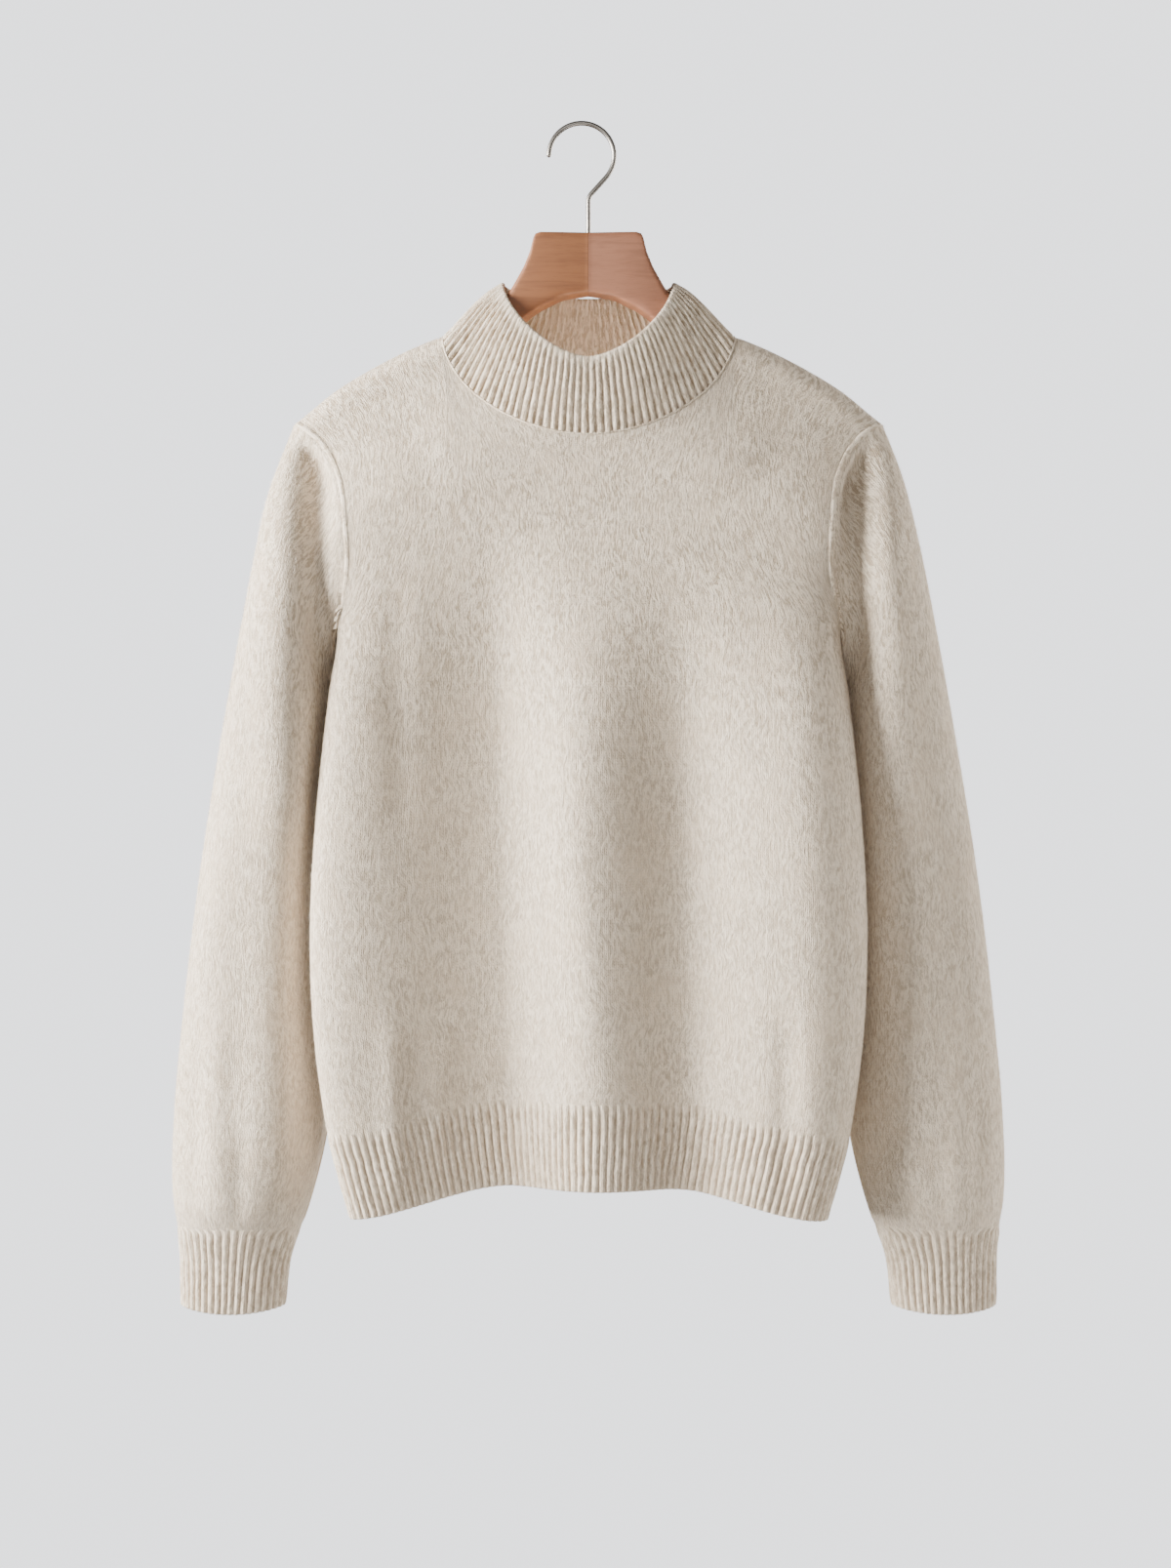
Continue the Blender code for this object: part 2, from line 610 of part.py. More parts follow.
def hook_route():
    """Centre line of the wire: round the crown from its tip, down the throat, and down the stem."""
    centre = np.array([-STEM_OFFSET, WIRE_RADIUS - HOOK_RADIUS])
    angles = np.radians(np.linspace(HOOK_TIP_ANGLE, HOOK_END_ANGLE, CROWN_POINTS))
    crown = centre + HOOK_RADIUS * np.stack([np.cos(angles), np.sin(angles)], axis=1)
    end = math.radians(HOOK_END_ANGLE)
    heading = np.array([math.sin(end), -math.cos(end)])
    bend = np.linspace(end, 0, BEND_POINTS)
    bend = BEND_RADIUS * np.stack([1 - np.cos(bend), -np.sin(bend)], axis=1)
    throat = (crown[-1, 0] - bend[0, 0]) / -heading[0]
    bend_start = crown[-1] + heading * throat
    lower = bend_start + bend - bend[0]
    stem = np.array([[0, -HANGER_SECTIONS[0].top - STEM_DEPTH]])
    return np.concatenate([crown, lower, stem])


def make_hook(finish, parent):
    curve = bpy.data.curves.new("hook", "CURVE")
    curve.dimensions = "3D"
    curve.bevel_depth = WIRE_RADIUS
    curve.bevel_resolution = 2
    curve.use_fill_caps = True
    route = hook_route()
    spline = curve.splines.new("POLY")
    spline.points.add(len(route) - 1)
    for point, (x, z) in zip(spline.points, route):
        point.co = (x, 0, z, 1)
    curve.materials.append(finish)
    hook = bpy.data.objects.new("hook", curve)
    hook.parent = parent
    parent.users_collection[0].objects.link(hook)


# ---- The sweater

def finish(name, colour, roughness, metallic=0.0):
    made = bpy.data.materials.new(name)
    made.use_nodes = True
    shader = made.node_tree.nodes["Principled BSDF"]
    shader.inputs["Base Color"].default_value = (*colour, 1)
    shader.inputs["Roughness"].default_value = roughness
    shader.inputs["Metallic"].default_value = metallic
    return made


def mirrored(grid):
    return grid * np.array([-1, 1, 1])


def make_sweater(knit, rib, parent):
    grids, normals = {}, {}
    for side in (FRONT, BACK):
        grids[side] = body_grid(side)
        inside = np.stack([np.zeros(len(grids[side])), np.zeros(len(grids[side])),
                           grids[side][..., 2].mean(axis=1)], axis=1)[:, None]
        normals[side] = face_normals(grids[side], inside, closed=False)

    # The armhole as one ring, from the armpit up the front and down the back
    def ring(rows):
        return np.concatenate([rows[FRONT][LOWER_ROWS:, 0], rows[BACK][-2:LOWER_ROWS:-1, 0]])

    armhole = ring(grids)
    sleeve = sleeve_grid(armhole)
    sleeve_normals = face_normals(sleeve, sleeve.mean(axis=1, keepdims=True), closed=True)
    hole_rays = armhole_rays(ring(normals), sleeve_normals[0], armhole)
    side_rays = {
        FRONT: hole_rays[:ARMHOLE_ROWS + 1],
        BACK: np.concatenate([hole_rays[:1], hole_rays[:ARMHOLE_ROWS - 1:-1]]),
    }

    neck = {}
    neck_columns = slice(SHOULDER_COLUMNS, SHOULDER_COLUMNS + NECK_COLUMNS + 1)
    for side, name in NAMES.items():
        grid, rays = grids[side], -normals[side]
        rays[:LOWER_ROWS, [0, -1], 1] = 0
        rays[-1, :SHOULDER_COLUMNS + 1, 1] = 0
        rays[-1, -SHOULDER_COLUMNS - 1:, 1] = 0
        rays = unit(rays)
        rays[LOWER_ROWS:, 0] = side_rays[side]
        rays[LOWER_ROWS:, -1] = mirrored(side_rays[side])
        shift = np.zeros_like(grid)
        shift[0] += seam_shift(grid[0], rays[0], grid[1])
        shift[-1] += seam_shift(grid[-1], rays[-1], grid[-2])
        shift[:, 0] += seam_shift(grid[:, 0], rays[:, 0], grid[:, 1])
        shift[:, -1] += seam_shift(grid[:, -1], rays[:, -1], grid[:, -2])
        wall = np.full(grid.shape[:2], KNIT_WALL)
        wall[LOWER_ROWS:, [0, -1]] = SEAM_WALL
        wall[-1, neck_columns] = SEAM_WALL
        cloth(name, grid, rays, shift, knit, parent, wall=wall)
        neck[side] = grid[-1, neck_columns], rays[-1, neck_columns]

        face, rib_rays, relief = hem_rib(side, grid[0], rays[0])
        shift = np.zeros_like(face)
        shift[0] += seam_shift(face[0], rib_rays[0], face[1])
        shift[:, 0] += seam_shift(face[:, 0], rib_rays[:, 0], face[:, 1])
        shift[:, -1] += seam_shift(face[:, -1], rib_rays[:, -1], face[:, -2])
        cloth("hem_rib_" + name, face, rib_rays, shift, rib, parent, relief, RIB_POINTS_PER_INNER)

    rays = -sleeve_normals
    rays[0] = hole_rays
    rays[-1, :, 2] = 0
    rays = unit(rays)
    shift = np.zeros_like(sleeve)
    shift[0] = seam_shift(sleeve[0], rays[0], sleeve[1], closed=True, back=SEAM_GAP)
    shift[-1] = seam_shift(sleeve[-1], rays[-1], sleeve[-2], closed=True)
    cuff, cuff_rays, cuff_relief = cuff_rib(sleeve[-1], rays[-1])
    cuff_shift = np.zeros_like(cuff)
    cuff_shift[0] = seam_shift(cuff[0], cuff_rays[0], cuff[1], closed=True)
    wall = np.full(sleeve.shape[:2], KNIT_WALL)
    wall[0] = SEAM_WALL
    for name, turned in (("left", lambda grid: grid), ("right", mirrored)):
        cloth("sleeve_" + name, turned(sleeve), turned(rays), turned(shift), knit, parent, closed=True, wall=wall)
        cloth("cuff_" + name, turned(cuff), turned(cuff_rays), turned(cuff_shift), rib, parent,
              cuff_relief, RIB_POINTS_PER_INNER, closed=True)

    face, rays, relief = collar_rib(neck)
    shift = np.zeros_like(face)
    shift[0] = seam_shift(face[0], rays[0], face[1], closed=True, back=SEAM_GAP)
    wall = np.full(face.shape[:2], KNIT_WALL)
    wall[0] = SEAM_WALL
    cloth("collar", face, rays, shift, rib, parent, relief, RIB_POINTS_PER_INNER, closed=True, wall=wall)


def main():
    for old in list(bpy.data.objects):
        bpy.data.objects.remove(old)
    collection = bpy.data.collections.new("mock neck sweater on hanger")
    cutters = bpy.data.collections.new("cutters")
    for made in (collection, cutters):
        bpy.context.scene.collection.children.link(made)
    stem = bpy.data.objects.new("stem", None)
    stem.location = (STEM_OFFSET, 0, 0)
    collection.objects.link(stem)

    make_sweater(finish("cream wool knit", (0.80, 0.75, 0.67), 0.95),
                 finish("cream wool rib", (0.79, 0.73, 0.65), 0.95), stem)
    hanger = make_hanger(finish("satin brown wood", (0.33, 0.19, 0.12), 0.5), stem)
    bore_hanger(hanger, cutters, stem)
    make_hook(finish("brushed steel wire", (0.42, 0.40, 0.37), 0.35, 1.0), stem)


main()
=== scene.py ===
# A cream mock neck sweater on its wooden hanger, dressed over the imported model.
# Metres, +Z up, the front faces -Y. x is measured from the garment's middle, drop is the distance below the
# crown.

import bpy
import math
import numpy as np
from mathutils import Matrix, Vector


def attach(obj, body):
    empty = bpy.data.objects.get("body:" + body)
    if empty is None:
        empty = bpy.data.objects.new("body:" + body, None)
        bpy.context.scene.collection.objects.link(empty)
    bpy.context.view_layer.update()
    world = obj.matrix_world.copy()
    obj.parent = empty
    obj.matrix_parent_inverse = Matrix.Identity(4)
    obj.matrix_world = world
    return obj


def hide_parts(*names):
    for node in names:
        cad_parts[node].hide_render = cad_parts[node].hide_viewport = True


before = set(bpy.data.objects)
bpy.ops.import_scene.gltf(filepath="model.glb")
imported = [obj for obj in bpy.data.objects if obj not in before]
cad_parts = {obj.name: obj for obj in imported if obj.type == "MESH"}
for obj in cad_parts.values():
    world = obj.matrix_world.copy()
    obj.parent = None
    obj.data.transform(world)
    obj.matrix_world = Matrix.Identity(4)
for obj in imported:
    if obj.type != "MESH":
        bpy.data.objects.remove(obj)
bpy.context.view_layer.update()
print("frame loaded")

garment = {
    "stemX": 0.0047,        # the garment's middle hangs below the stem, a little to +X of the crown
    "wall": 0.0028,
    "hangerReach": 0.017,   # how far the cloth arches out over the hanger
    "shoulderFall": 0.105,
}


def readCurve(at, height, where):
    at, height = np.array(at, float), np.array(height, float)
    if at[0] > at[-1]:
        at, height = at[::-1], height[::-1]
    slope = np.gradient(height, at)
    where = np.clip(where, at[0], at[-1])
    i = np.clip(np.searchsorted(at, where, side="right") - 1, 0, len(at) - 2)
    span = at[i + 1] - at[i]
    t = (where - at[i]) / span
    start = (1 + 2 * t) * (1 - t) ** 2 * height[i] + t * (1 - t) ** 2 * span * slope[i]
    return start + t * t * (3 - 2 * t) * height[i + 1] - t * t * (1 - t) * span * slope[i + 1]


def ease(t):
    t = np.clip(t, 0, 1)
    return t * t * (3 - 2 * t)


def crown(u, square):
    return (1 - np.clip(np.abs(u), 0, 1) ** square) ** (1 / square)


def unit(vectors):
    return vectors / np.maximum(np.linalg.norm(vectors, axis=-1, keepdims=True), 1e-9)


def runOf(points):
    steps = np.linalg.norm(np.diff(points, axis=0), axis=-1)
    return np.concatenate([np.zeros((1,) + steps.shape[1:]), np.cumsum(steps, axis=0)])


def spread(points, shares):
    along = runOf(points)
    target = np.asarray(shares) * along[-1]
    return np.stack([np.interp(target, along, points[:, k]) for k in range(points.shape[1])], axis=1)


def atColumns(row, columns):
    numbers = np.arange(len(row))
    return np.stack([np.interp(columns, numbers, row[:, k]) for k in range(row.shape[1])], axis=1)


def wrinkle(u, v, lines):
    # each line is a soft ridge (+) or trough (-): ends u0 v0 u1 v1, half width, height
    raised = np.zeros(np.broadcast(u, v).shape)
    for u0, v0, u1, v1, half, height in lines:
        du, dv = u1 - u0, v1 - v0
        length = math.hypot(du, dv)
        t = ((u - u0) * du + (v - v0) * dv) / length ** 2
        off = ((u - u0) * dv - (v - v0) * du) / length
        fade = np.exp(-(np.maximum(np.abs(t - 0.5) - 0.25, 0) / 0.2) ** 2)
        raised = raised + height * fade * np.exp(-(off / half) ** 2)
    return raised


# the body's form; every list runs down from the shoulder, one value for each drop
body = {
    "drop": [0.110, 0.206, 0.275, 0.325, 0.345, 0.391, 0.470, 0.550, 0.610, 0.667, 0.725],
    "halfWidth": [0.2200, 0.2150, 0.1900, 0.1730, 0.1710, 0.1770, 0.1855, 0.1890, 0.1860, 0.1775, 0.1625],
    "front": [0.040, 0.041, 0.048, 0.053, 0.054, 0.056, 0.057, 0.056, 0.054, 0.052, 0.050],
    "back": [0.040, 0.040, 0.044, 0.047, 0.048, 0.050, 0.051, 0.051, 0.050, 0.048, 0.046],
    "frontSquare": [3.2, 4.0, 4.8, 5.2, 5.6, 6.6, 7.6, 8.0, 8.0, 8.0, 8.0],
    "backSquare": [2.4, 2.4, 2.3, 2.2, 2.1, 2.0, 2.0, 2.0, 2.3, 2.8, 3.0],
    "archSquare": [8.0, 8.0, 6.0, 4.0, 3.5, 3.0, 2.6, 2.5, 2.5, 2.5, 2.5],
    "shoulderX": [0.0000, 0.0500, 0.0995, 0.1225, 0.1490, 0.1760, 0.1960, 0.2020],
    "shoulderDrop": [0.1100, 0.1275, 0.1450, 0.1545, 0.1680, 0.1850, 0.2015, 0.2060],
    "neckHalf": 0.0995,
    "shoulderHalf": 0.2020,
    "armpitDrop": 0.345,
    "seamDrop": 0.667,      # where the hem rib is joined on, in the middle
    "hemDrop": 0.725,
    "armholeDrop": [0.3450, 0.3300, 0.3120, 0.2780, 0.2420, 0.2270, 0.2165, 0.2060],
    "armholeFrontX": [0.1710, 0.1670, 0.1640, 0.1650, 0.1715, 0.1790, 0.1880, 0.2020],
    "armholeBackX": [0.1710, 0.1690, 0.1685, 0.1710, 0.1765, 0.1830, 0.1905, 0.2020],
    "neckFall": {"front": (0.072, 1.85), "back": (0.018, 2.4)},
    "sag": 0.021,
    "sagStart": 0.050,      # the hem hangs lower towards the sides
    "sagSpan": 0.120,
    # long folds from the chest to the hem: x at the start and at the hem, half width to -X and to +X, depth,
    # drop where it starts and where it is full
    "folds": {
        "front": [
            (-0.076, -0.056, 0.084, 0.038, 0.042, 0.245, 0.430),
            (0.051, 0.069, 0.045, 0.035, 0.028, 0.280, 0.480),
        ],
        "back": [
            (-0.096, -0.096, 0.032, 0.032, 0.020, 0.380, 0.700),
            (-0.008, -0.008, 0.034, 0.034, 0.024, 0.300, 0.680),
            (0.082, 0.082, 0.031, 0.031, 0.022, 0.350, 0.700),
        ],
    },
    "foldSquare": 1.8,
    # soft uneven creases: x0 drop0 x1 drop1 half width height
    "creases": {
        "front": [
            (-0.148, 0.340, -0.128, 0.420, 0.012, -0.0010), (0.150, 0.320, 0.160, 0.740, 0.030, 0.0085),
            (-0.020, 0.430, 0.010, 0.660, 0.014, 0.0012), (-0.130, 0.310, -0.127, 0.490, 0.010, -0.0018),
            (-0.133, 0.590, -0.131, 0.730, 0.0090, 0.0030), (0.133, 0.590, 0.131, 0.730, 0.0090, -0.0030),
            (-0.098, 0.610, -0.104, 0.700, 0.010, 0.0010), (0.088, 0.620, 0.094, 0.700, 0.010, 0.0010),
            (-0.130, 0.200, -0.100, 0.260, 0.014, -0.0012), (0.140, 0.205, 0.104, 0.262, 0.014, -0.0012),
            (-0.060, 0.640, -0.020, 0.662, 0.007, -0.0010), (0.030, 0.655, 0.080, 0.640, 0.007, -0.0010),
        ],
        "back": [
            (-0.140, 0.290, -0.110, 0.480, 0.016, -0.0024), (0.145, 0.300, 0.118, 0.500, 0.016, -0.0024),
            (-0.050, 0.220, -0.040, 0.330, 0.020, 0.0018), (0.048, 0.215, 0.036, 0.330, 0.020, 0.0016),
            (-0.080, 0.180, 0.080, 0.184, 0.012, -0.0014), (-0.150, 0.350, -0.100, 0.310, 0.010, -0.0018),
            (0.152, 0.352, 0.104, 0.312, 0.010, -0.0018), (0.030, 0.560, 0.044, 0.680, 0.014, 0.0018),
            (-0.052, 0.540, -0.060, 0.680, 0.013, 0.0018), (0.128, 0.560, 0.134, 0.680, 0.012, -0.0016),
        ],
    },
    "columns": {"shoulder": 42, "neck": 112},
    "rows": {"lower": 78, "armhole": 58, "settle": 30},
    "samples": 1601,
}


def bodyAt(column, drop):
    return readCurve(body["drop"], body[column], drop)


def shoulderDropAt(x):
    return readCurve(body["shoulderX"], body["shoulderDrop"], np.abs(x))


def bodyY(side, x, drop):
    facing = -1 if side == "front" else 1
    reach = garment["hangerReach"]
    below = np.maximum(drop - shoulderDropAt(x), 0)
    across = x / bodyAt("halfWidth", drop)
    arch = reach * np.sqrt(1 - (1 - np.minimum(below / reach, 1)) ** 2)
    arch = arch * crown(across, bodyAt("archSquare", drop))
    full = (bodyAt(side, drop) - reach) * ease(below / garment["shoulderFall"])
    full = full * crown(across, bodyAt(side + "Square", drop))
    pressed = np.zeros(np.broadcast(x, drop).shape)
    for startX, hemX, halfLeft, halfRight, depth, start, whole in body["folds"][side]:
        down = (drop - start) / (body["hemDrop"] - start)
        away = x - (startX + (hemX - startX) * np.clip(down, 0, 1) ** 0.5)
        away = np.abs(away / np.where(away < 0, halfLeft, halfRight))
        deep = depth * ease((drop - start) / (whole - start))
        pressed = pressed + deep * np.exp(-away ** body["foldSquare"])
    pressed = pressed - wrinkle(x, drop, body["creases"][side]) * ease((below - 0.006) / 0.03)
    return facing * (arch + full - pressed * crown(across, 4))


def widthCurve(half, square, angle):
    return half * np.sign(np.sin(angle)) * np.abs(np.sin(angle)) ** (2 / square)


def levelSection(side, drop, samples):
    s = np.linspace(-1, 1, body["samples"])
    across = np.sign(s) * (1 - (1 - np.abs(s)) ** 4)   # close together at the turn to the side
    x = bodyAt("halfWidth", drop) * across
    y = bodyY(side, x, np.full_like(x, drop))
    return spread(np.stack([x, y], axis=1), np.linspace(0, 1, samples))


def saggingRow(side, drop, sag, samples):
    x, y = levelSection(side, drop, samples).T
    return np.stack([x, y, -drop - sag * ease((np.abs(x) - body["sagStart"]) / body["sagSpan"])], axis=1)


def topEdge(side):
    fall, square = body["neckFall"][side]
    shoulderX = np.linspace(body["shoulderHalf"], body["neckHalf"], body["columns"]["shoulder"] * 2 + 1)
    shoulder = np.stack([-shoulderX, shoulderDropAt(shoulderX)], axis=1)
    x = widthCurve(body["neckHalf"], square, np.linspace(-math.pi / 2, math.pi / 2, 801))
    neckDrop = shoulderDropAt(body["neckHalf"]) + fall * crown(x / body["neckHalf"], square)
    neck = np.stack([x, neckDrop], axis=1)
    neck = spread(neck, np.linspace(0, 1, body["columns"]["neck"] * 2 + 1))
    return np.concatenate([shoulder[:-1], neck, (shoulder * [-1, 1])[::-1][1:]])


def upperRow(side, r, edge):
    top = topEdge(side)
    armpit = body["armpitDrop"]
    bottom = np.stack([levelSection(side, armpit, len(top))[:, 0], np.full(len(top), armpit)], axis=1)
    row = (1 - r) * bottom + r * top
    s = np.linspace(0, 1, len(top))[:, None]
    # only the ends follow the armhole
    row = row + (1 - s) ** 4 * (edge * [-1, 1] - row[0]) + s ** 4 * (edge - row[-1])
    return np.stack([row[:, 0], bodyY(side, row[:, 0], row[:, 1]), -row[:, 1]], axis=1)


def armholeEdge(side, shares):
    drop = np.linspace(body["armholeDrop"][0], body["armholeDrop"][-1], 401)
    x = readCurve(body["armholeDrop"], body["armhole" + side.capitalize() + "X"], drop)
    return spread(np.stack([x, drop, bodyY(side, x, drop)], axis=1), shares)[:, :2]


def bodyGrid(side):
    columns = 2 * body["columns"]["shoulder"] + body["columns"]["neck"]
    rows = []
    for rise in np.arange(body["rows"]["lower"]) / body["rows"]["lower"]:
        drop = body["seamDrop"] + (body["armpitDrop"] - body["seamDrop"]) * rise
        rows.append(saggingRow(side, drop, body["sag"] * (1 - rise), columns + 1))
    shares = 1 - (1 - np.linspace(0, 1, body["rows"]["armhole"] + 1)) ** 1.3
    edges = armholeEdge(side, shares)
    topRun = runOf(upperRow(side, 1, edges[-1]))
    topShare = topRun[::2] / topRun[-1]
    for number, (r, edge) in enumerate(zip(shares, edges)):
        row = upperRow(side, r, edge)
        even = spread(row, (1 - r) * np.linspace(0, 1, columns + 1) + r * topShare)
        # columns run on smoothly past the armpit
        row = row[::2] + (even - row[::2]) * ease(number / body["rows"]["settle"])
        rows.append(np.stack([row[:, 0], bodyY(side, row[:, 0], -row[:, 2]), row[:, 2]], axis=1))
    return np.array(rows)


def outwards(grid, middle, closed=False):
    if closed:
        across = np.roll(grid, -1, axis=1) - np.roll(grid, 1, axis=1)
    else:
        across = np.gradient(grid, axis=1)
    normals = unit(np.cross(across, np.gradient(grid, axis=0)))
    return -normals if np.sum(normals * (grid - middle)) < 0 else normals


def clearPick():
    bpy.ops.object.select_all(action="DESELECT")


def inStemFrame(points):
    return (points + np.array([garment["stemX"], 0, 0])).astype(np.float32).ravel()


def asFloats(values):
    return values.astype(np.float32).ravel()


def capEnds():
    bpy.ops.object.mode_set(mode="EDIT")
    bpy.ops.mesh.select_all(action="SELECT")
    bpy.ops.mesh.fill_holes(sides=0)
    bpy.ops.object.mode_set(mode="OBJECT")


def gridPiece(name, grid, outward, uv=None, wrapColumns=False, wrapRows=False, wall=None,
              sharpRows=(), groove_shade=None):
    # a grid primitive moved onto the points, joined up where it closes, and turned to face outwards
    rows, columns = grid.shape[:2]
    clearPick()
    bpy.ops.mesh.primitive_grid_add(x_subdivisions=columns - 1, y_subdivisions=rows - 1, size=1)
    piece = bpy.context.object
    piece.name = piece.data.name = name
    mesh = piece.data
    mesh.vertices.foreach_set("co", inStemFrame(grid))
    if uv is None:
        wide = runOf(grid.transpose(1, 0, 2)).mean(axis=1)
        tall = runOf(grid).mean(axis=1)
        uv = np.stack(np.meshgrid(wide, tall), axis=-1)
    corner = np.zeros(len(mesh.loops), dtype=np.int32)
    mesh.loops.foreach_get("vertex_index", corner)
    mesh.uv_layers[0].data.foreach_set("uv", asFloats(uv.reshape(-1, 2)[corner]))
    # painted shade: a mask of how much darker the rib grooves are coloured
    if groove_shade is not None:
        mesh.attributes.new("groove_shade", "FLOAT", "POINT").data.foreach_set("value", asFloats(groove_shade))
    if sharpRows:
        ends = np.zeros(len(mesh.edges) * 2, dtype=np.int32)
        mesh.edges.foreach_get("vertices", ends)
        row = ends.reshape(-1, 2) // columns
        mesh.edges.foreach_set("use_edge_sharp", (row[:, 0] == row[:, 1]) & np.isin(row[:, 0], sharpRows))
    mesh.update()
    normals = np.zeros(len(mesh.vertices) * 3, dtype=np.float32)
    mesh.vertex_normals.foreach_get("vector", normals)
    bpy.ops.object.mode_set(mode="EDIT")
    bpy.ops.mesh.select_all(action="SELECT")
    if np.sum(normals.reshape(-1, 3) * outward.reshape(-1, 3)) < 0:
        bpy.ops.mesh.flip_normals()
    if wrapColumns or wrapRows:
        bpy.ops.mesh.remove_doubles(threshold=0.000001)
    if wrapRows and not wrapColumns:
        bpy.ops.mesh.fill_holes(sides=0)
    bpy.ops.object.mode_set(mode="OBJECT")
    if wall:
        solid = piece.modifiers.new("wall", "SOLIDIFY")
        solid.thickness = wall
        solid.offset = -1
        bpy.ops.object.modifier_apply(modifier=solid.name)
        bpy.ops.object.shade_smooth_by_angle(angle=math.radians(62))
    else:
        bpy.ops.object.shade_smooth(keep_sharp_edges=True)
    return piece


def tubePiece(name, path, radius, sides=8):
    # a round tube along a path, with a radius for each point
    ahead = unit(np.gradient(path, axis=0))
    up = np.array([0.0, 1.0, 0.0]) if abs(ahead[:, 1]).mean() < 0.5 else np.array([0.0, 0.0, 1.0])
    side = unit(np.cross(ahead, up))
    over = np.cross(side, ahead)
    turn = np.linspace(0, 2 * math.pi, sides + 1)
    turn[-1] = 0
    away = np.cos(turn)[None, :, None] * side[:, None] + np.sin(turn)[None, :, None] * over[:, None]
    piece = gridPiece(name, path[:, None] + away * radius[:, None, None], away, wrapColumns=True)
    capEnds()
    return piece


def wrapped(grid):
    return np.concatenate([grid, grid[:, :1]], axis=1)


def wander(count, length, seed, step, knots):
    # smooth uneven drift for each of many lines, so that no two ribs run quite alike
    rng = np.random.default_rng(seed)
    marks = rng.normal(size=(knots, count // step + 2))
    down = np.linspace(0, knots - 1, length)
    across = np.arange(count) / step
    rows = np.stack([np.interp(down, np.arange(knots), marks[:, k]) for k in range(marks.shape[1])], axis=1)
    return np.stack([np.interp(across, np.arange(marks.shape[1]), row) for row in rows])


# what all ribbed bands share
rib = {
    "sunk": -0.0013,        # the groove between two ribs, from the band's own line
    "raised": 0.0021,       # a rib's height from the groove
    "innerSunk": 0.0004,
    "innerRaised": 0.0010,
    "round": 0.72,
    "innerRound": 0.70,
    "drift": 0.055,         # how far a rib wanders, in rib widths
    "uneven": 0.12,
    "shade": 0.62,          # painted shade: how much darker the grooves are coloured, outside and inside
    "innerShade": 0.35,
    "turns": 5,             # rows round the free edge
}
shells = {}   # the outer face and its normals, for the nap


def fadeFromSeam(down, seamFade):
    if seamFade:
        return ease(down / seamFade)
    # with no fade the ribs start full, in a slight roll over the seam
    return (1 + 0.5 * np.exp(-(down / 0.005) ** 2)) * (0.3 + 0.7 * ease(down / 0.002))


def ribbedPiece(name, face, rays, ribs, wall, edgeRound, closed, seamFade,
                edgeFade=(0.8, 0.005), shade=rib["shade"], seed=1):
    # outer face, rounded free edge, inner face, ribs on both sides; the face runs from the seam to the edge
    if closed:
        face, rays = wrapped(face), wrapped(rays)
    length, columns = face.shape[:2]
    phase = np.linspace(0, ribs, columns)[None, :]
    ends = np.sin(math.pi * np.linspace(0, 1, columns))[None, :] ** 0.3
    pitch = runOf(face.transpose(1, 0, 2))[-1, length // 2] / ribs
    shift = wander(columns, length, seed, columns // ribs * 2, 6) * rib["drift"] * pitch * ends
    face = face + unit(np.gradient(face, axis=1)) * shift[..., None]
    height = 1 + wander(columns, length, seed + 7, columns // ribs, 9) * rib["uneven"] * ends
    wave = np.abs(np.sin(math.pi * phase))
    ribShape = wave ** rib["round"]
    down = runOf(face)
    fromSeam = fadeFromSeam(down, seamFade)
    toEdge = edgeFade[0] + (1 - edgeFade[0]) * ease((down[-1] - down) / edgeFade[1])
    outerLift = (rib["sunk"] + rib["raised"] * ribShape * height) * fromSeam * toEdge
    innerLift = rib["innerSunk"] - rib["innerRaised"] * wave ** rib["innerRound"] + 0 * down
    outer = face - rays * outerLift[..., None]
    inner = face + rays * (wall + innerLift[..., None])
    onward = unit(face[-1] - face[-2])
    middle, half = (outer[-1] + inner[-1]) / 2, (outer[-1] - inner[-1]) / 2
    turned, turnedOut = [], []
    for angle in np.linspace(0, math.pi, rib["turns"] + 2)[1:-1]:
        turned.append(middle + half * math.cos(angle) + onward * edgeRound * math.sin(angle))
        turnedOut.append(-rays[-1] * math.cos(angle) + onward * math.sin(angle))
    grid = np.concatenate([outer, turned, inner[::-1], outer[:1]])
    outward = np.concatenate([-rays, turnedOut, rays[::-1], -rays[:1]])
    # painted shade: the grooves on the outer face, the grooves on the inner face and the free edge are
    # coloured darker where shade falls
    dark = shade * ease((0.80 - ribShape) / 0.80) * (fromSeam if seamFade else 1.0) * toEdge
    innerDark = ease((wave - 0.55) / 0.45) * toEdge * rib["innerShade"]
    edgeDark = np.repeat(dark[-1:], rib["turns"], axis=0) * 0.8
    groove_shade = np.concatenate([dark, edgeDark, innerDark[::-1], dark[:1]])
    uv = np.stack(np.meshgrid(phase[0] * pitch, runOf(grid)[:, 0]), axis=-1)
    shells[name] = (outer, -rays)
    return gridPiece(name, grid, outward, uv, wrapColumns=closed, wrapRows=True,
                     sharpRows=(0, len(grid) - 2, len(grid) - 1), groove_shade=groove_shade)


# front and back, each a grid of points from the hem's seam up to the shoulder
grids, normals = {}, {}
for side in ("front", "back"):
    grids[side] = bodyGrid(side)
    inside = np.zeros((len(grids[side]), 1, 3))
    inside[:, 0, 2] = grids[side][..., 2].mean(axis=1)
    normals[side] = outwards(grids[side], inside)

pieces = {}
for side in ("front", "back"):
    pieces[side] = gridPiece(side + "_panel", grids[side], normals[side], wall=garment["wall"])
    shells[side + "_panel"] = (grids[side], normals[side])
print("front and back made")

hem = {"ribs": 82, "height": 0.058, "pointsPerRib": 8, "rows": 16, "edgeRound": 0.0014, "seamFade": 0.007}


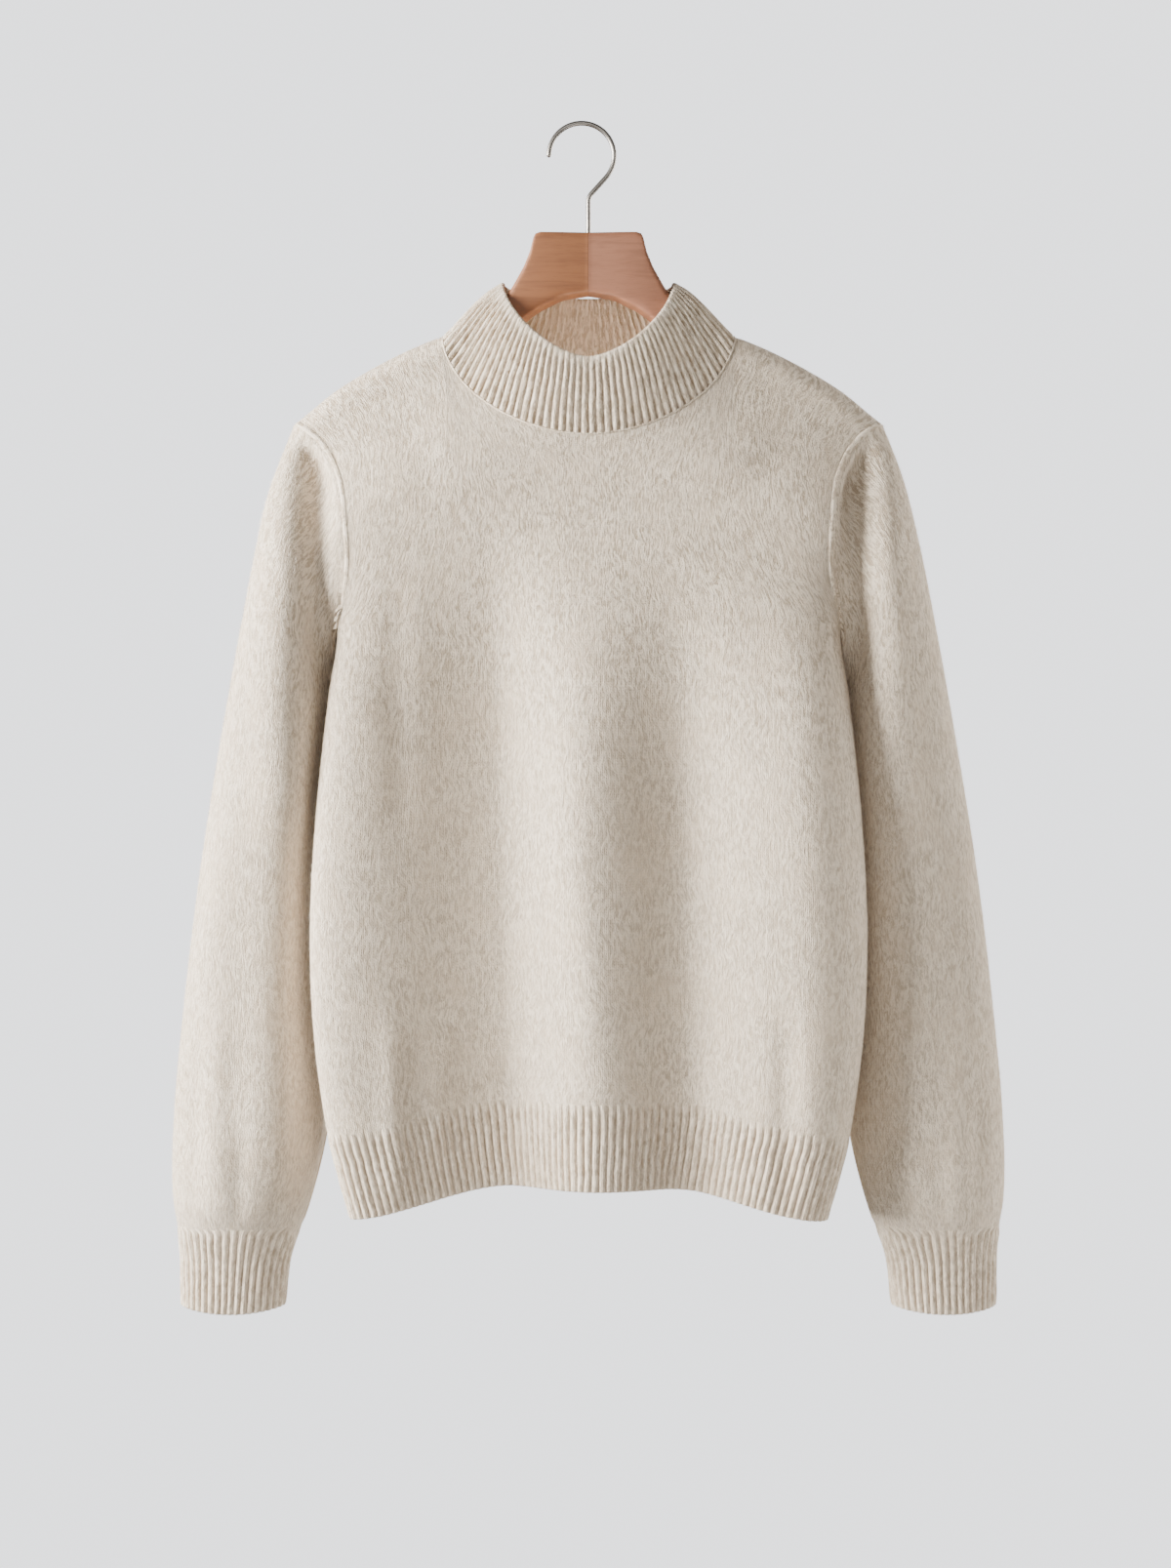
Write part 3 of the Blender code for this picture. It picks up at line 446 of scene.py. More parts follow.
def hemRib(side):
    points = hem["ribs"] * hem["pointsPerRib"] + 1
    columns = np.linspace(0, grids[side].shape[1] - 1, points)
    rows = [atColumns(grids[side][0], columns)]
    for t in np.linspace(0, 1, hem["rows"] + 1)[1:]:
        rows.append(saggingRow(side, body["seamDrop"] + hem["height"] * t, body["sag"], points))
    face = np.array(rows)
    rays = -outwards(face, np.array([0, 0, face[..., 2].mean()]))
    return ribbedPiece("hem_band_" + side, face, rays, hem["ribs"], garment["wall"], hem["edgeRound"],
                       closed=False, seamFade=hem["seamFade"], seed=11 if side == "front" else 12)


for side in ("front", "back"):
    pieces["hem_rib_" + side] = hemRib(side)
print("hem ribs made")

# a sleeve as seen from the front: its outer and inner edges, one value for each ring
sleeve = {
    "outerX": [0.2020, 0.2170, 0.2275, 0.2390, 0.2530, 0.2680, 0.2805, 0.2870, 0.2885, 0.2875, 0.2850],
    "outerDrop": [0.2060, 0.2480, 0.2890, 0.3450, 0.4200, 0.5100, 0.6100, 0.6800, 0.7200, 0.7420, 0.7570],
    "outerY": [0.000, 0.000, 0.003, 0.006, 0.010, 0.014, 0.018, 0.020, 0.021, 0.021, 0.021],
    "innerX": [0.1710, 0.1730, 0.1750, 0.1770, 0.1795, 0.1815, 0.1820, 0.1820, 0.1890, 0.1945, 0.1990],
    "innerDrop": [0.3450, 0.3640, 0.3900, 0.4300, 0.4800, 0.5450, 0.6280, 0.6870, 0.7230, 0.7430, 0.7570],
    "innerY": [0.000, 0.012, 0.024, 0.032, 0.038, 0.040, 0.039, 0.033, 0.027, 0.023, 0.021],
    "halfDepth": [0.030, 0.040, 0.046, 0.049, 0.049, 0.047, 0.046, 0.045, 0.043, 0.038, 0.029],
    "blend": 0.085,
    "rings": 150,
    "crowding": 0.09,
    # soft uneven creases as seen from the front and from behind: x0 drop0 x1 drop1 half width height
    "creases": {
        "left": {
            "front": [
                (0.187, 0.210, 0.181, 0.372, 0.0105, -0.0120), (0.2045, 0.230, 0.2090, 0.500, 0.018, 0.0080),
                (0.2060, 0.400, 0.2200, 0.735, 0.018, 0.0088), (0.190, 0.420, 0.196, 0.640, 0.010, -0.0026),
                (0.252, 0.600, 0.254, 0.745, 0.010, 0.0022), (0.270, 0.640, 0.268, 0.750, 0.008, -0.0018),
                (0.205, 0.620, 0.214, 0.745, 0.008, 0.0018), (0.236, 0.690, 0.240, 0.757, 0.006, -0.0016),
                (0.262, 0.440, 0.276, 0.600, 0.009, -0.0014),
            ],
            "back": [
                (0.190, 0.230, 0.202, 0.350, 0.010, -0.0050), (0.214, 0.400, 0.224, 0.560, 0.014, -0.0026),
                (0.246, 0.480, 0.256, 0.640, 0.012, 0.0020), (0.226, 0.620, 0.232, 0.745, 0.009, -0.0022),
                (0.258, 0.650, 0.260, 0.752, 0.008, 0.0018), (0.208, 0.640, 0.215, 0.745, 0.008, 0.0016),
            ],
        },
        "right": {
            "front": [
                (0.181, 0.212, 0.179, 0.372, 0.0100, -0.0110), (0.1990, 0.220, 0.2060, 0.440, 0.014, 0.0070),
                (0.2030, 0.370, 0.2220, 0.700, 0.016, 0.0080), (0.240, 0.400, 0.256, 0.640, 0.013, -0.0012),
                (0.250, 0.610, 0.250, 0.745, 0.010, 0.0020), (0.266, 0.660, 0.266, 0.752, 0.008, -0.0020),
                (0.208, 0.610, 0.216, 0.745, 0.009, 0.0020), (0.238, 0.700, 0.241, 0.757, 0.006, -0.0014),
                (0.196, 0.480, 0.200, 0.640, 0.008, 0.0014),
            ],
            "back": [
                (0.188, 0.232, 0.204, 0.352, 0.010, -0.0052), (0.218, 0.420, 0.222, 0.570, 0.014, -0.0028),
                (0.250, 0.460, 0.262, 0.620, 0.012, 0.0018), (0.230, 0.600, 0.228, 0.745, 0.009, -0.0020),
                (0.254, 0.660, 0.256, 0.752, 0.008, 0.0018), (0.206, 0.650, 0.214, 0.745, 0.008, 0.0014),
            ],
        },
    },
}


def sleeveGrid(armhole):
    # rings of the -X sleeve, from the armpit up the front and down the back
    count = len(armhole)
    turn = 2 * math.pi * np.arange(count) / count
    t = np.linspace(0, 1, sleeve["rings"] + 1)
    t = t - sleeve["crowding"] * np.sin(2 * math.pi * t)
    first, last = sleeve["outerDrop"][0], sleeve["outerDrop"][-1]
    rings = []
    for drop in first + (last - first) * t:
        at = {key: float(readCurve(sleeve["outerDrop"], sleeve[key], drop)) for key in
              ("outerX", "outerY", "innerX", "innerDrop", "innerY", "halfDepth")}
        outer = np.array([-at["outerX"], at["outerY"], -drop])
        inner = np.array([-at["innerX"], at["innerY"], -at["innerDrop"]])
        rings.append((outer + inner) / 2 + np.cos(turn)[:, None] * (inner - outer) / 2
                     + np.sin(turn)[:, None] * np.array([0, -at["halfDepth"], 0]))
    rings = np.array(rings)
    kept = 1 - ease((-rings[:, count // 2, 2] - first) / sleeve["blend"])
    return rings + kept[:, None, None] * (armhole - rings[0])


lower = body["rows"]["lower"]
armhole = np.concatenate([grids["front"][lower:, 0], grids["back"][-2:lower:-1, 0]])
sleeveFace = sleeveGrid(armhole)
sleeveOut = outwards(sleeveFace, sleeveFace.mean(axis=1, keepdims=True), closed=True)


def flip(grid):
    return grid * np.array([-1, 1, 1])


def creasedSleeve(hand):
    x, drop = -sleeveFace[..., 0], -sleeveFace[..., 2]
    facing = sleeveOut[..., 1]
    raised = np.zeros_like(x)
    for side, turned in (("front", -facing), ("back", facing)):
        raised = raised + wrinkle(x, drop, sleeve["creases"][hand][side]) * ease(turned * 1.6)
    down = runOf(sleeveFace)
    ends = ease((down - 0.001) / 0.010) * ease((down[-1] - down) / 0.012)
    return sleeveFace + sleeveOut * (raised * ends)[..., None]


sleeveFaces = {}
for hand, turned in (("left", lambda grid: grid), ("right", flip)):
    sleeveFaces[hand] = turned(wrapped(creasedSleeve(hand)))
    pieces["sleeve_" + hand] = gridPiece(hand + "_sleeve", sleeveFaces[hand], turned(wrapped(sleeveOut)),
                                         wrapColumns=True, wall=garment["wall"])
    shells[hand + "_sleeve"] = (sleeveFaces[hand], turned(wrapped(sleeveOut)))
print("sleeves made")

cuff = {
    "outerX": [0.2850, 0.2832, 0.2826],
    "innerX": [0.1990, 0.2055, 0.2105],
    "drop": [0.757, 0.776, 0.816],
    "halfDepth": [0.0290, 0.0225, 0.0185],
    "y": 0.021,
    "bow": 0.004,
    "ribs": 38,
    "pointsPerRib": 8,
    "rows": 16,
    "edgeRound": 0.0014,
    "seamFade": 0.007,
    # painted shade in the cuff's rib grooves, a little lighter than on the other bands
    "shade": 0.60,
}


def evenTurn(halfWidth, halfDepth, turn):
    angle = np.linspace(0, 2 * math.pi, 1441)
    along = runOf(np.stack([halfWidth * np.cos(angle), halfDepth * np.sin(angle)], axis=1))
    return np.interp(turn / (2 * math.pi) * along[-1], along, angle)


def cuffFace():
    points = cuff["ribs"] * cuff["pointsPerRib"]
    seam = wrapped(sleeveFace[-1:])[0]
    turn = 2 * math.pi * np.arange(points) / points
    rows = [atColumns(seam, np.arange(points) * (len(seam) - 1) / points)]
    for t in np.linspace(0, 1, cuff["rows"] + 1)[1:]:
        drop = cuff["drop"][0] + (cuff["drop"][-1] - cuff["drop"][0]) * t
        outerX, innerX, halfDepth = (float(readCurve(cuff["drop"], cuff[key], drop))
                                     for key in ("outerX", "innerX", "halfDepth"))
        half = (outerX - innerX) / 2
        angle = evenTurn(half, halfDepth, turn)
        x = -(outerX + innerX) / 2 + half * np.cos(angle)
        y = cuff["y"] - halfDepth * np.sin(angle)
        rows.append(np.stack([x, y, -drop + cuff["bow"] * t * np.cos(angle) ** 2], axis=1))
    return np.array(rows)


cuffOuter = cuffFace()
cuffRays = -outwards(cuffOuter, cuffOuter.mean(axis=1, keepdims=True), closed=True)
for hand, turned in (("left", lambda grid: grid), ("right", flip)):
    pieces["cuff_" + hand] = ribbedPiece(
        hand + "_cuff_band", turned(cuffOuter), turned(cuffRays), cuff["ribs"], garment["wall"],
        cuff["edgeRound"], closed=True, seamFade=cuff["seamFade"], shade=cuff["shade"],
        seed=21 if hand == "left" else 22)
print("cuffs made")

collar = {
    "half": 0.0605,
    "sideDrop": 0.1085,
    "front": (0.042, 2.5, 0.0585, 1.62),   # y, plan square, fall, square
    "back": (0.026, 2.3, 0.008, 2.0),
    "ribs": {"front": 50, "back": 38},
    "pointsPerRib": 8,
    "rows": 18,
    "bulge": 0.0018,
    "edgeRound": 0.0022,
    "edgeFade": (0.10, 0.009),   # the ribs sink away at the top edge
    "wall": 0.0032,
}


def collarEdge(side, samples):
    y, planSquare, fall, square = collar[side]
    across = widthCurve(1, planSquare, np.linspace(-math.pi / 2, math.pi / 2, 601))
    facing = -1 if side == "front" else 1
    points = np.stack([collar["half"] * across, facing * y * crown(across, planSquare),
                       -collar["sideDrop"] - fall * crown(across, square)], axis=1)
    return spread(points, np.linspace(0, 1, samples))


def collarFace():
    halves = []
    shoulder, neck = body["columns"]["shoulder"], body["columns"]["neck"]
    for side in ("front", "back"):
        points = collar["ribs"][side] * collar["pointsPerRib"] + 1
        seam = grids[side][-1, shoulder:shoulder + neck + 1]
        bottom, top = atColumns(seam, np.linspace(0, neck, points)), collarEdge(side, points)
        halves.append(np.array([bottom + (top - bottom) * t for t in np.linspace(0, 1, collar["rows"] + 1)]))
    face = np.concatenate([halves[0][:, :-1], halves[1][:, :0:-1]], axis=1)
    rays = -outwards(face, face.mean(axis=1, keepdims=True), closed=True)
    swell = collar["bulge"] * np.sin(math.pi * np.linspace(0, 1, len(face)) ** 1.4)
    return face - rays * swell[:, None, None], rays


collarOuter, collarRays = collarFace()
pieces["collar"] = ribbedPiece("collar_band", collarOuter, collarRays, sum(collar["ribs"].values()),
                               collar["wall"], collar["edgeRound"], closed=True, seamFade=None,
                               edgeFade=collar["edgeFade"], seed=31)
print("collar made")

# the yoke as one value for each x, then the arms under the shoulders
hanger = {
    "x": [0.0000, 0.0180, 0.0330, 0.0362, 0.0376, 0.0398, 0.0440, 0.0520, 0.0640, 0.0800, 0.0995],
    "top": [0.0750, 0.0750, 0.0750, 0.0762, 0.0790, 0.0880, 0.0985, 0.1125, 0.1290, 0.1430, 0.1530],
    "bottom": [0.1160, 0.1192, 0.1270, 0.1292, 0.1302, 0.1320, 0.1355, 0.1410, 0.1510, 0.1630, 0.1750],
    "half": [0.0115] * 8 + [0.0114, 0.0110, 0.0106],
    "square": [9.0, 9.0, 9.0, 9.0, 9.0, 8.0, 7.0, 5.0, 3.0, 2.2, 2.0],
    "arm": [0.1100, 0.1250, 0.1420, 0.1600, 0.1760, 0.1860],
    "armHeight": 0.024,
    "seat": (0.0043, 0.0065),    # from the shoulder line down to the wood, at the neck and at the tip
    "tipHalf": 0.0100,
    "sweep": 0.0030,
    "sweepReach": 0.045,
    "sides": 64,
    "steps": 90,
}


def rounded(wave, power):
    return np.sign(wave) * np.abs(wave) ** power


def hangerPiece():
    columns = {key: list(hanger[key]) for key in ("x", "top", "bottom", "half", "square")}
    for x in hanger["arm"]:
        toTip = (x - hanger["arm"][0]) / (hanger["arm"][-1] - hanger["arm"][0])
        top = float(shoulderDropAt(x)) + hanger["seat"][0]
        top = top + (hanger["seat"][1] - hanger["seat"][0]) * toTip ** 4
        bottom = top + hanger["armHeight"] * (1 - 0.3 * toTip ** 2)
        half = hanger["half"][0] + (hanger["tipHalf"] - hanger["half"][0]) * toTip
        for key, value in (("x", x), ("top", top), ("bottom", bottom), ("half", half), ("square", 2.0)):
            columns[key].append(value)
    count = len(columns["x"])
    along = np.interp(np.linspace(0, count - 1, hanger["steps"]), np.arange(count), columns["x"])
    along = np.concatenate([-along[:0:-1], along])
    turn = np.linspace(0, 2 * math.pi, hanger["sides"] + 1)
    turn[-1] = 0
    rings, away = [], []
    for x in along:
        top, bottom, half, square = (float(np.interp(abs(x), columns["x"], columns[key]))
                                     for key in ("top", "bottom", "half", "square"))
        out = abs(x) / hanger["sweepReach"]
        sweep = -hanger["sweep"] * out * math.exp((1 - out ** 2) / 2)
        y = sweep + half * rounded(np.cos(turn), 2 / square)
        z = (bottom - top) / 2 * rounded(np.sin(turn), 2 / square) - (top + bottom) / 2
        rings.append(np.stack([np.full_like(y, x), y, z], axis=1))
        away.append(np.stack([np.zeros_like(y), np.cos(turn), np.sin(turn)], axis=1))
    piece = gridPiece("wooden_hanger", np.array(rings), np.array(away), wrapColumns=True)
    capEnds()
    return piece


pieces["hanger"] = hangerPiece()
print("hanger made")

hook = {
    "radius": 0.0017,
    "crownRadius": 0.0224,
    "tipAngle": 183,
    "endAngle": -42,
    "bend": 0.009,
    "depth": 0.020,         # how deep the stem goes into the wood
}


def hookRoute():
    centre = np.array([-garment["stemX"], hook["radius"] - hook["crownRadius"]])
    angles = np.radians(np.linspace(hook["tipAngle"], hook["endAngle"], 90))
    circle = centre + hook["crownRadius"] * np.stack([np.cos(angles), np.sin(angles)], axis=1)
    end = math.radians(hook["endAngle"])
    heading = np.array([math.sin(end), -math.cos(end)])
    bend = np.linspace(end, 0, 16)
    bend = hook["bend"] * np.stack([1 - np.cos(bend), -np.sin(bend)], axis=1)
    start = circle[-1] + heading * (circle[-1, 0] - bend[0, 0]) / -heading[0]
    stem = np.array([[0, -hanger["top"][0] - 0.002], [0, -hanger["top"][0] - hook["depth"]]])
    flat = np.concatenate([circle, start + bend - bend[0], stem])
    return np.stack([flat[:, 0], np.zeros(len(flat)), flat[:, 1]], axis=1)


route = hookRoute()
tipRun = runOf(route)
hookRadius = hook["radius"] * np.sqrt(np.clip(1 - (1 - np.minimum(tipRun / hook["radius"], 1)) ** 2, 0.05, 1))
pieces["hook"] = tubePiece("wire_hook", route, hookRadius, sides=20)
print("hook made")

seams = {
    "armholeRadius": 0.0027,
    "armholeLift": -0.0020,     # how deep its middle sits
    "armholeFade": 0.060,       # it sinks away towards the armpit
    "armholeInset": 0.0024,     # the ridge lies on the body, this far in from the seam
    "sideRadius": 0.0008,
    "shoulderRadius": 0.0009,
    "neckRadius": 0.0007,
    "endFade": 0.006,
    "stitchPitch": 0.0024,
    "stitchDepth": 0.35,
}


def beaded(path, radius):
    # a row of chain stitches: the thread swells and narrows once a stitch
    stitch = np.abs(np.sin(math.pi * runOf(path) / seams["stitchPitch"]))
    return radius * (1 - seams["stitchDepth"] + seams["stitchDepth"] * stitch)


def resampled(path, step):
    run = runOf(path)
    return spread(path, np.linspace(0, 1, int(run[-1] / step) + 1))


def endsTapered(path, radius, fade):
    run = runOf(path)
    return radius * ease(np.minimum(run / fade, (run[-1] - run) / seams["endFade"])) + 0.0002


def addSeam(name, path, radius, fade=seams["endFade"], beads=False):
    path = resampled(path, 0.0006 if beads else 0.0025)
    pieces[name] = tubePiece(name, path, beaded(path, radius) if beads else endsTapered(path, radius, fade))


def armholeLine(face, outward, column):
    # a line on the panel, a little in from one of its side edges
    edge, inner = face[:, column], face[:, 1 if column == 0 else -2]
    return edge + unit(inner - edge) * seams["armholeInset"] + outward[:, column] * seams["armholeLift"]


for side in ("front", "back"):
    face, outward = grids[side], normals[side]
    for hand, column in (("left", 0), ("right", -1)):
        line = armholeLine(face, outward, column)[lower - 1:]
        addSeam(f"armhole_seam_{side}_{hand}", line, seams["armholeRadius"], seams["armholeFade"])
for hand, column in (("left", 0), ("right", -1)):
    addSeam("side_seam_" + hand, grids["front"][:lower, column], seams["sideRadius"])
shoulderColumns = body["columns"]["shoulder"]
for hand, part in (("left", slice(None, shoulderColumns + 1)), ("right", slice(-shoulderColumns - 1, None))):
    addSeam("shoulder_seam_" + hand, grids["back"][-1, part] + [0, 0.001, -0.0004], seams["shoulderRadius"])
for side in ("front", "back"):
    below, row = grids[side][-2:, shoulderColumns:-shoulderColumns]
    away = normals[side][-1, shoulderColumns:-shoulderColumns]
    addSeam("neck_seam_" + side, row + away * 0.0002 + (below - row) * 0.25, seams["neckRadius"], beads=True)
for hand in ("left", "right"):
    addSeam("underarm_seam_" + hand, sleeveFaces[hand][2:, 0], seams["sideRadius"])
print("seams made")

# fine loose fibres that stand off the knit
nap = {
    "perSquareCm": 34,
    "ribShare": 0.35,       # fewer and shorter fibres on the ribs
    "ribLength": 0.6,
    "length": (0.0018, 0.0052),
    "width": 0.00026,
    "lift": 0.30,
    "swirl": 0.45,
    "seed": 5,
}


def quadAreas(face):
    a, b, c, d = face[:-1, :-1], face[:-1, 1:], face[1:, 1:], face[1:, :-1]
    return 0.5 * np.linalg.norm(np.cross(c - a, d - b), axis=-1)


def drifting(foot):
    # neighbouring fibres lean the same way, in patches a few centimetres across
    x, z = foot[:, :1], foot[:, 2:]
    return 1.2 * np.sin(x * 61 + 2.1 * np.sin(z * 43)) * np.sin(z * 57 + 1.7)


def napPiece(name, face, outward, density, seed, lengthScale):
    rng = np.random.default_rng(seed)
    areas = quadAreas(face)
    count = int(areas.sum() * 10000 * density)
    picked = rng.choice(areas.size, size=count, p=areas.ravel() / areas.sum())
    i, j = np.unravel_index(picked, areas.shape)
    s, t = rng.random((2, count, 1))

    def at(values):
        return (values[i, j] * (1 - s) * (1 - t) + values[i, j + 1] * s * (1 - t)
                + values[i + 1, j] * (1 - s) * t + values[i + 1, j + 1] * s * t)

    foot, away = at(face), unit(at(outward))
    downhill = np.array([0, 0, -1.0]) - away * (-away[:, 2:3])
    downhill = unit(downhill + 1e-6)
    aside = np.cross(away, downhill)
    sideways = aside * (nap["swirl"] * (rng.normal(size=(count, 1)) + drifting(foot)))
    heading = downhill + sideways + away * nap["lift"] * rng.gamma(2.0, 0.5, (count, 1))
    length = rng.uniform(*nap["length"], (count, 1)) * lengthScale
    tip = foot + unit(heading) * length
    across = unit(np.cross(heading, away)) * nap["width"] / 2
    points = np.stack([foot - across, foot + across, tip], axis=1).reshape(-1, 3)
    mesh = bpy.data.meshes.new(name)
    mesh.from_pydata([], [], [])
    mesh.vertices.add(3 * count)
    mesh.vertices.foreach_set("co", inStemFrame(points))
    mesh.loops.add(3 * count)
    mesh.loops.foreach_set("vertex_index", np.arange(3 * count, dtype=np.int32))
    mesh.polygons.add(count)
    mesh.polygons.foreach_set("loop_start", np.arange(0, 3 * count, 3, dtype=np.int32))
    mesh.uv_layers.new(name="UVMap")
    uv = np.stack([np.repeat(rng.random(count), 3), np.tile([0.0, 0.0, 1.0], count)], axis=1)
    mesh.uv_layers[0].data.foreach_set("uv", asFloats(uv))
    mesh.update(calc_edges=True)
    mesh.shade_smooth()
    mesh.normals_split_custom_set_from_vertices(np.repeat(away, 3, axis=0).astype(np.float32).tolist())
    piece = bpy.data.objects.new(name, mesh)
    bpy.context.scene.collection.objects.link(piece)
    return piece


naps = {}
for number, (name, (face, outward)) in enumerate(shells.items()):
    plain = "panel" in name or "sleeve" in name
    density = nap["perSquareCm"] * (1 if plain else nap["ribShare"])
    naps[name] = napPiece(name + "_nap", face, outward, density, nap["seed"] + number,
                          1.0 if plain else nap["ribLength"])
    print("nap made on", name, "over", round(float(quadAreas(face).sum()), 4), "square metres of cloth")


def newGroup(name, inputs, outputs):
    group = bpy.data.node_groups.new(name, "ShaderNodeTree")
    for socketName, kind, default in inputs:
        socket = group.interface.new_socket(name=socketName, in_out="INPUT", socket_type=kind)
        if default is not None:
            socket.default_value = default
    for socketName, kind in outputs:
        group.interface.new_socket(name=socketName, in_out="OUTPUT", socket_type=kind)
    return group, group.nodes.new("NodeGroupInput"), group.nodes.new("NodeGroupOutput")


def link(tree, source, target):
    tree.links.new(source, target)


def setInputs(node, values):
    for key, value in values.items():
        node.inputs[key].default_value = value


def calc(tree, operation, a, b=None, clamp=False):
    node = tree.nodes.new("ShaderNodeMath")
    node.operation = operation
    node.use_clamp = clamp
    for socket, value in zip(node.inputs, (a, b)):
        if value is None:
            continue
        if isinstance(value, (int, float)):
            socket.default_value = value
        else:
            link(tree, value, socket)
    return node.outputs[0]


def noise(tree, vector, scale, detail=2.0, rough=0.5, distortion=0.0):
    node = tree.nodes.new("ShaderNodeTexNoise")
    setInputs(node, {"Scale": scale, "Detail": detail, "Roughness": rough, "Distortion": distortion})
    link(tree, vector, node.inputs["Vector"])
    return node.outputs["Fac"]


def stretched(tree, vector, scale, turn=0.0):
    node = tree.nodes.new("ShaderNodeMapping")
    setInputs(node, {"Scale": scale, "Rotation": (0, 0, turn)})
    link(tree, vector, node.inputs["Vector"])
    return node.outputs["Vector"]


def mixColour(tree, factor, a, b):
    node = tree.nodes.new("ShaderNodeMix")
    node.data_type = "RGBA"
    for key, value in (("Factor", factor), ("A", a), ("B", b)):
        socket = next(s for s in node.inputs if s.name == key and s.enabled)
        if isinstance(value, (int, float)):
            socket.default_value = value
        elif isinstance(value, tuple):
            socket.default_value = (*value, 1)
        else:
            link(tree, value, socket)
    return next(s for s in node.outputs if s.enabled)


def ramp(tree, value, low, high):
    node = tree.nodes.new("ShaderNodeMapRange")
    node.interpolation_type = "SMOOTHSTEP"
    setInputs(node, {"From Min": low, "From Max": high})
    link(tree, value, node.inputs["Value"])
    return node.outputs["Result"]


wool = {
    "light": (0.870, 0.750, 0.595),
    "deep": (0.500, 0.392, 0.278),
    "warm": (0.800, 0.648, 0.480),
    # painted shade: the dark brown that the rib grooves are mixed towards
    "groove_shade": (0.360, 0.240, 0.146),
    "paleFibre": (0.970, 0.885, 0.760),
    "darkFibre": (0.620, 0.500, 0.370),
    "stitch": (0.0025, 0.0019),     # width and height
    "swirl": 0.010,
    "ribSwirl": 0.003,
    "teasedFrom": (-0.46, -0.26),   # heights between which the nap gets rougher
    "roughness": 0.92,
    "sheen": 0.18,
}


def knitGroup():
    # V stitches on cloth metres: u across, v up; height 0 to 1
    inputs = [("Cloth", "NodeSocketVector", None), ("Stitch Width", "NodeSocketFloat", wool["stitch"][0]),
              ("Stitch Height", "NodeSocketFloat", wool["stitch"][1])]
    group, source, sink = newGroup("knitStitches", inputs, [("Height", "NodeSocketFloat")])
    split = group.nodes.new("ShaderNodeSeparateXYZ")
    link(group, source.outputs["Cloth"], split.inputs[0])
    u = calc(group, "DIVIDE", split.outputs["X"], source.outputs["Stitch Width"])
    v = calc(group, "DIVIDE", split.outputs["Y"], source.outputs["Stitch Height"])
    leg = calc(group, "SUBTRACT", calc(group, "MULTIPLY", calc(group, "FRACT", u), 2.0), 1.0)
    leg = calc(group, "ABSOLUTE", leg)
    slanted = calc(group, "FRACT", calc(group, "ADD", v, calc(group, "MULTIPLY", leg, -0.75)))
    along = calc(group, "SINE", calc(group, "MULTIPLY", slanted, math.pi))
    across = calc(group, "SINE", calc(group, "MULTIPLY", leg, math.pi))
    across = calc(group, "ADD", calc(group, "MULTIPLY", across, 0.7), 0.3)
    height = calc(group, "MULTIPLY", calc(group, "POWER", along, 0.6), across)
    link(group, height, sink.inputs["Height"])
    return group


def napGroup():
    # brushed fibres that run down the cloth and swirl a little, in clumps
    inputs = [("Cloth", "NodeSocketVector", None), ("Swirl", "NodeSocketFloat", wool["ribSwirl"])]
    outputs = [(key, "NodeSocketFloat") for key in ("Height", "Streak", "Cloud")]
    group, source, sink = newGroup("brushedNap", inputs, outputs)
    bend = group.nodes.new("ShaderNodeTexNoise")
    setInputs(bend, {"Scale": 42, "Detail": 1.5})
    link(group, source.outputs["Cloth"], bend.inputs["Vector"])
    centred = group.nodes.new("ShaderNodeVectorMath")
    centred.operation = "SUBTRACT"
    centred.inputs[1].default_value = (0.5, 0.5, 0.5)
    link(group, bend.outputs["Color"], centred.inputs[0])
    scaled = group.nodes.new("ShaderNodeVectorMath")
    scaled.operation = "SCALE"
    link(group, centred.outputs[0], scaled.inputs[0])
    link(group, source.outputs["Swirl"], scaled.inputs["Scale"])
    moved = group.nodes.new("ShaderNodeVectorMath")
    link(group, source.outputs["Cloth"], moved.inputs[0])
    link(group, scaled.outputs[0], moved.inputs[1])
    fibre = noise(group, stretched(group, moved.outputs[0], (1, 0.16, 1)), 1400, 2.0, 0.6)
    clump = noise(group, stretched(group, moved.outputs[0], (1, 0.24, 1)), 560, 3.0, 0.65, 0.3)
    cloud = noise(group, stretched(group, moved.outputs[0], (1, 0.6, 1)), 34, 3.0, 0.55)
    height = calc(group, "ADD", calc(group, "MULTIPLY", fibre, 0.28), calc(group, "MULTIPLY", clump, 0.72))
    link(group, height, sink.inputs["Height"])
    link(group, ramp(group, height, 0.40, 0.61), sink.inputs["Streak"])
    link(group, cloud, sink.inputs["Cloud"])
    return group


knitStitches, brushedNap = knitGroup(), napGroup()


def blankMaterial(name):
    made = bpy.data.materials.new(name)
    made.use_nodes = True
    return made, made.node_tree, made.node_tree.nodes["Principled BSDF"]


def groupIn(tree, group, **values):
    node = tree.nodes.new("ShaderNodeGroup")
    node.node_tree = group
    for key, value in values.items():
        socket = node.inputs[key.replace("_", " ")]
        if isinstance(value, (int, float)):
            socket.default_value = value
        else:
            link(tree, value, socket)
    return node


def addBump(tree, shader, height, distance, strength):
    bump = tree.nodes.new("ShaderNodeBump")
    setInputs(bump, {"Distance": distance, "Strength": strength})
    link(tree, height, bump.inputs["Height"])
    link(tree, bump.outputs["Normal"], shader.inputs["Normal"])


